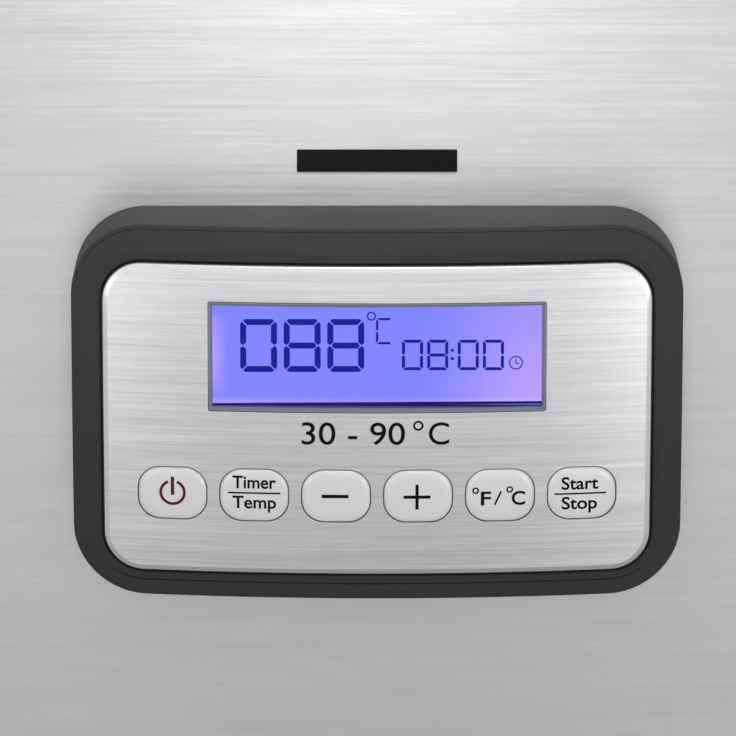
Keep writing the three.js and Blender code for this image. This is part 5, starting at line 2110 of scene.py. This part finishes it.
@dataclass
class Lid(SubAssembly):
    """The lift-off lid: a steel pressing, a glass pane, a silicone gasket and a handle with two screws."""

    post: float = 57.0
    radius: float = 33.0
    glass_radius: float = 22.0
    gasket_radius: float = 48.0
    bore: float = 2.5
    handle: BridgeHandle = BridgeHandle(130, 34, 11, 16, 24, 17)
    screw: ScrewHead = ScrewHead(4.6, 2.2, 4.2, 1.8)
    steel: Extent = field(default_factory=lambda: Extent.of("lid_frame"))
    glass: Extent = field(default_factory=lambda: Extent.of("lid_window"))

    def build(self) -> None:
        """Makes the lid."""
        self.pressing()
        self.pane()
        self.gasket()
        self.grip()

    def pressing(self) -> None:
        """The pressed steel frame."""
        low, top, ledge = self.steel.low[2], self.glass.high[2], self.glass.low[2] - 0.3
        pan, window = Outline.plan(self.steel, self.radius).at, Outline.plan(self.glass, self.glass_radius).at
        throat, rebate = Outline.plan(self.glass, 16, -7), Outline.plan(self.glass, 24.6, 3)
        section = [
            pan(0, low), pan(0, low + 5.5), pan(0.8, low + 8), pan(3, low + 9.6), window(-2, top),
            window(-0.4, top - 0.4), window(-0.4, ledge), throat.at(0, ledge), throat.at(0, ledge - 1.4),
            rebate.at(0, ledge - 1.4), rebate.at(0, top - 1.8), pan(4, low + 8), pan(1.6, low + 5),
            pan(1.6, low),
        ]
        cuts = [0.5, 1.8, 1.6, 2.4, 1.0, 0.4, 0, 0.3, 0.3, 0, 0, 2, 2, 0.3]
        skin = Skin()
        skin.loft(swept(section, self.steel.centre, cuts, 6, closed=True), joined=True)
        made = skin.object("lid_pressing")
        self.shop.fit(made, Slot.BRUSHED_STEEL, "lid", ["lid_frame"], Trim.LID_STEEL)

    def posts(self, level: float = 0.0) -> list[Place]:
        """Where the handle's posts stand on the glass."""
        x, y, _ = self.steel.centre
        return [(x + side * self.post, y, level) for side in SIDES]

    def pane(self) -> None:
        """The glass pane, bored for the screws."""
        size, middle = self.glass.size, self.steel.centre[:2]
        bores = [Outline.round(self.bore, place[:2]) for place in self.posts()]
        skin = Skin()
        shape = Outline(size[0], size[1], self.glass_radius, middle, PLAN_ARC)
        skin.slab(shape, bores, self.glass.high[2], self.glass.low[2], 0.4)
        self.shop.fit(skin.object("lid_pane"), Slot.CLEAR_GLASS, "lid", ["lid_window"])

    def gasket(self) -> None:
        """The silicone gasket."""
        node = Extent.of("lid_gasket")
        lip, foot, crest = Outline.plan(node, self.gasket_radius).at, node.low[2], node.high[2]
        section = [lip(0, foot), lip(0, crest - 0.2), lip(3, crest), lip(3, foot + 3), lip(4.4, foot)]
        skin = Skin()
        skin.loft(swept(section, node.centre, [0.5, 0, 0, 0.8, 0.5], 4, closed=True), joined=True)
        self.shop.fit(skin.object("gasket_ring"), Slot.SILICONE, "lid", ["lid_gasket"])

    def grip(self) -> None:
        """The handle and its two screws."""
        x, y, _ = self.steel.centre
        foot = Extent.of("lid_handle").high[2] - self.handle.rise
        made = self.handle.made("lid_grip", lambda points: points[:, [0, 2, 1]] + (x, y, foot))
        self.shop.fit(made, Slot.BLACK_MOULDING, "lid", ["lid_handle"])
        nodes = ["lid_screw_left", "lid_screw_right"]
        places = self.posts(Extent.of(nodes[0]).low[2] + self.screw.height)
        self.shop.lay("lid_screws", self.screw.pattern(), places, Slot.SCREW_STEEL, "lid", nodes)


@dataclass
class MainsInlet(SubAssembly):
    """The mains inlet behind: a flange, and a recess with two corners cut off."""

    half_width: float = 12.0
    half_height: float = 8.2
    cut_corner: float = 4.0
    recess_depth: float = 18.0
    flange_depth: float = 2.2
    flange_radius: float = 3.0
    body: Rounded = (27.0, 19.4, 1.0)
    ease: float = 0.35

    def build(self) -> None:
        """Makes the inlet."""
        node = Extent.of("inlet_socket")
        w, h, c = self.half_width, self.half_height, self.cut_corner
        recess = [(-w, -h), (w, -h), (w, h - c), (w - c, h), (-w + c, h), (-w, h - c)]
        recess = softened(recess, 0.9, 3, closed=True)
        mouth, end = recess * (1 + self.ease / w), recess * 0.985
        flange, body = Outline(node.size[0], node.size[2], self.flange_radius), Outline(*self.body).outline()
        under, back = -self.flange_depth, -node.size[1]
        skin = Skin()
        skin.face(flange.outline(0.5), [mouth], 0.0)
        skin.loft(flange.rings(softened([(0.5, 0), (0, 0), (0, under)], [0, 0.5, 0], 4)), capped=False)
        skin.face(flange.outline(), [body], under)
        skin.loft([lifted(body, under), lifted(body, back)], capped=False)
        skin.face(body, [], back)
        walls = [(mouth, 0.0), (recess, -self.ease), (end, -self.recess_depth)]
        skin.loft([lifted(loop, depth) for loop, depth in walls], capped=False)
        skin.face(end, [], -self.recess_depth)
        origin = node.centre[0], node.high[1], node.centre[2]
        made = skin.object("mains_inlet", lambda points: points[:, [0, 2, 1]] * (-1, 1, 1) + origin)
        self.shop.fit(made, Slot.DARK_MOULDING, replaces=["inlet_socket"])


@dataclass
class InnerPieces(SubAssembly):
    """The CAD nodes that stay as they are, inside the bath."""

    def build(self) -> None:
        """Gives the nodes their finishes."""
        finishes = {
            Slot.SCREW_STEEL: [
                "motor_mount", "temperature_probe",
                *(f"panel_screw_{end}_{side}" for end in ("lower", "upper") for side in ("left", "right")),
            ],
            Slot.MOTOR_STEEL: ["pump_motor", "heating_element"],
            Slot.DARK_MOULDING: ["thermal_cutout", *(f"tact_switch_{name}" for name in Keys.names)],
            Slot.CIRCUIT_BOARD: ["power_board", "control_board"],
            Slot.BRASS: ["inlet_pin_live", "inlet_pin_earth", "inlet_pin_neutral"],
            Slot.DIFFUSER: ["backlight"],
            Slot.RUBBER: ["cable_grommet", "panel_harness"],
        }
        for slot, nodes in finishes.items():
            for node in nodes:
                self.shop.keep(node, slot)


# ---------------- the studio


def aimed(name: str, data: bpy.types.ID, place: Place, aim: Place) -> Object:
    """A lamp or a camera, turned towards what it is aimed at.

    Args:
        name: Its name.
        data: The lamp's or the camera's data.
        place: Where it is.
        aim: Where it looks.

    Returns:
        The object.
    """
    made = linked(name, data)
    made.location = place
    made.rotation_euler = (Vector(aim) - Vector(place)).to_track_quat("-Z", "Y").to_euler()
    return made


@dataclass(frozen=True)
class Softbox:
    """An area light."""

    name: str
    place: Place
    aim: Place
    size: Pair
    watts: float
    spread: float = 180.0
    mirrored: bool = True

    def hang(self) -> None:
        """Hangs the light."""
        data = bpy.data.lights.new(self.name, "AREA")
        data.shape = "RECTANGLE"
        data.size, data.size_y = self.size
        data.energy = self.watts
        data.spread = math.radians(self.spread)
        lamp = aimed(self.name, data, self.place, self.aim)
        lamp.visible_camera = False
        lamp.visible_glossy = self.mirrored


@dataclass
class Studio:
    """The floor, the lights and the camera. Lengths are in metres."""

    eye: Place = (-0.00207, -1.3805, 0.43366)
    target: Place = (-0.00207, -0.1191, 0.11916)
    focal_length: float = 276.0
    floor_reach: float = 6.0
    floor_level: float = -0.0001
    floor_colour: Colour = (0.82, 0.82, 0.82)
    daylight: float = 0.46
    lights: tuple[Softbox, ...] = (
        Softbox("rear", (0.0, 3.0, 2.6), (0, -0.6, 0.0), (2.4, 1.6), 80.0, mirrored=False),
        Softbox("front", (0.0, -0.5, 0.6), (0, -0.13, 0.29), (0.12, 0.08), 0.18, 29.0),
        Softbox("left", (-0.6, -0.95, 0.15), (-0.05, -0.12, 0.08), (0.4, 0.25), 0.09, 60.0),
        Softbox("right", (0.6, -0.95, 0.15), (0.05, -0.12, 0.08), (0.4, 0.25), 0.15, 60.0),
    )

    def build(self) -> None:
        """Makes the studio. The camera looks down on the panel from about 14 degrees above level."""
        self.build_floor()
        self.build_world()
        for light in self.lights:
            light.hang()
        data = bpy.data.cameras.new("camera")
        data.lens = self.focal_length
        bpy.context.scene.camera = aimed("camera", data, self.eye, self.target)
        bpy.context.scene.view_settings.view_transform = "Standard"

    def build_floor(self) -> None:
        """A pale floor under the feet."""
        reach, level = self.floor_reach, self.floor_level
        mesh = bpy.data.meshes.new("floor")
        square = ((-1, -1), (1, -1), (1, 1), (-1, 1))
        mesh.from_pydata([(x * reach, y * reach, level) for x, y in square], [], [(0, 1, 2, 3)])
        pale = {"Base Color": opaque(self.floor_colour), "Roughness": 0.7}
        mesh.materials.append(Surface("pale floor").dressed(pale))
        floor = linked("floor", mesh)
        floor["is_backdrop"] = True

    def build_world(self) -> None:
        """Soft daylight, and white behind the object and in what it mirrors."""
        world = bpy.data.worlds.new("studio")
        world.use_nodes = True
        bpy.context.scene.world = world
        graph = Graph(world.node_tree)
        shader = world.node_tree.nodes["Background"]
        path = graph.add("ShaderNodeLightPath").outputs
        seen = graph.maths("MAXIMUM", path["Is Camera Ray"], path["Is Glossy Ray"])
        seen = graph.maths("MAXIMUM", seen, path["Is Transmission Ray"])
        graph.feed(shader.inputs["Color"], (1.0, 1.0, 1.0, 1.0))
        strength = graph.maths("MULTIPLY_ADD", seen, 1.0 - self.daylight, self.daylight)
        graph.feed(shader.inputs["Strength"], strength)


def corners(box: tuple[Vector, Vector]) -> list[list[float]]:
    """A box as plain lists."""
    return [[float(value) for value in corner] for corner in box]


def main() -> None:
    """Builds the bath's looks and its studio."""
    logging.basicConfig(level=logging.INFO, format="%(name)s: %(message)s")
    cad_box = corners(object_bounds())
    Studio().build()
    shop, front = Workshop(), BowedFront()
    housing, keys = PanelHousing(shop, front), Keys(shop, front)
    for part in (
        housing, ControlPlate(shop, front, housing, keys), Display(shop, front), keys, SteelSleeve(shop),
        BarePlate(shop), Base(shop), TopRim(shop), Tank(shop), CarryingHandles(shop), Lid(shop),
        MainsInlet(shop), InnerPieces(shop),
    ):
        part.build()
    {"cad": cad_box, "visual": corners(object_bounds())}


if __name__ == "__main__":
    main()
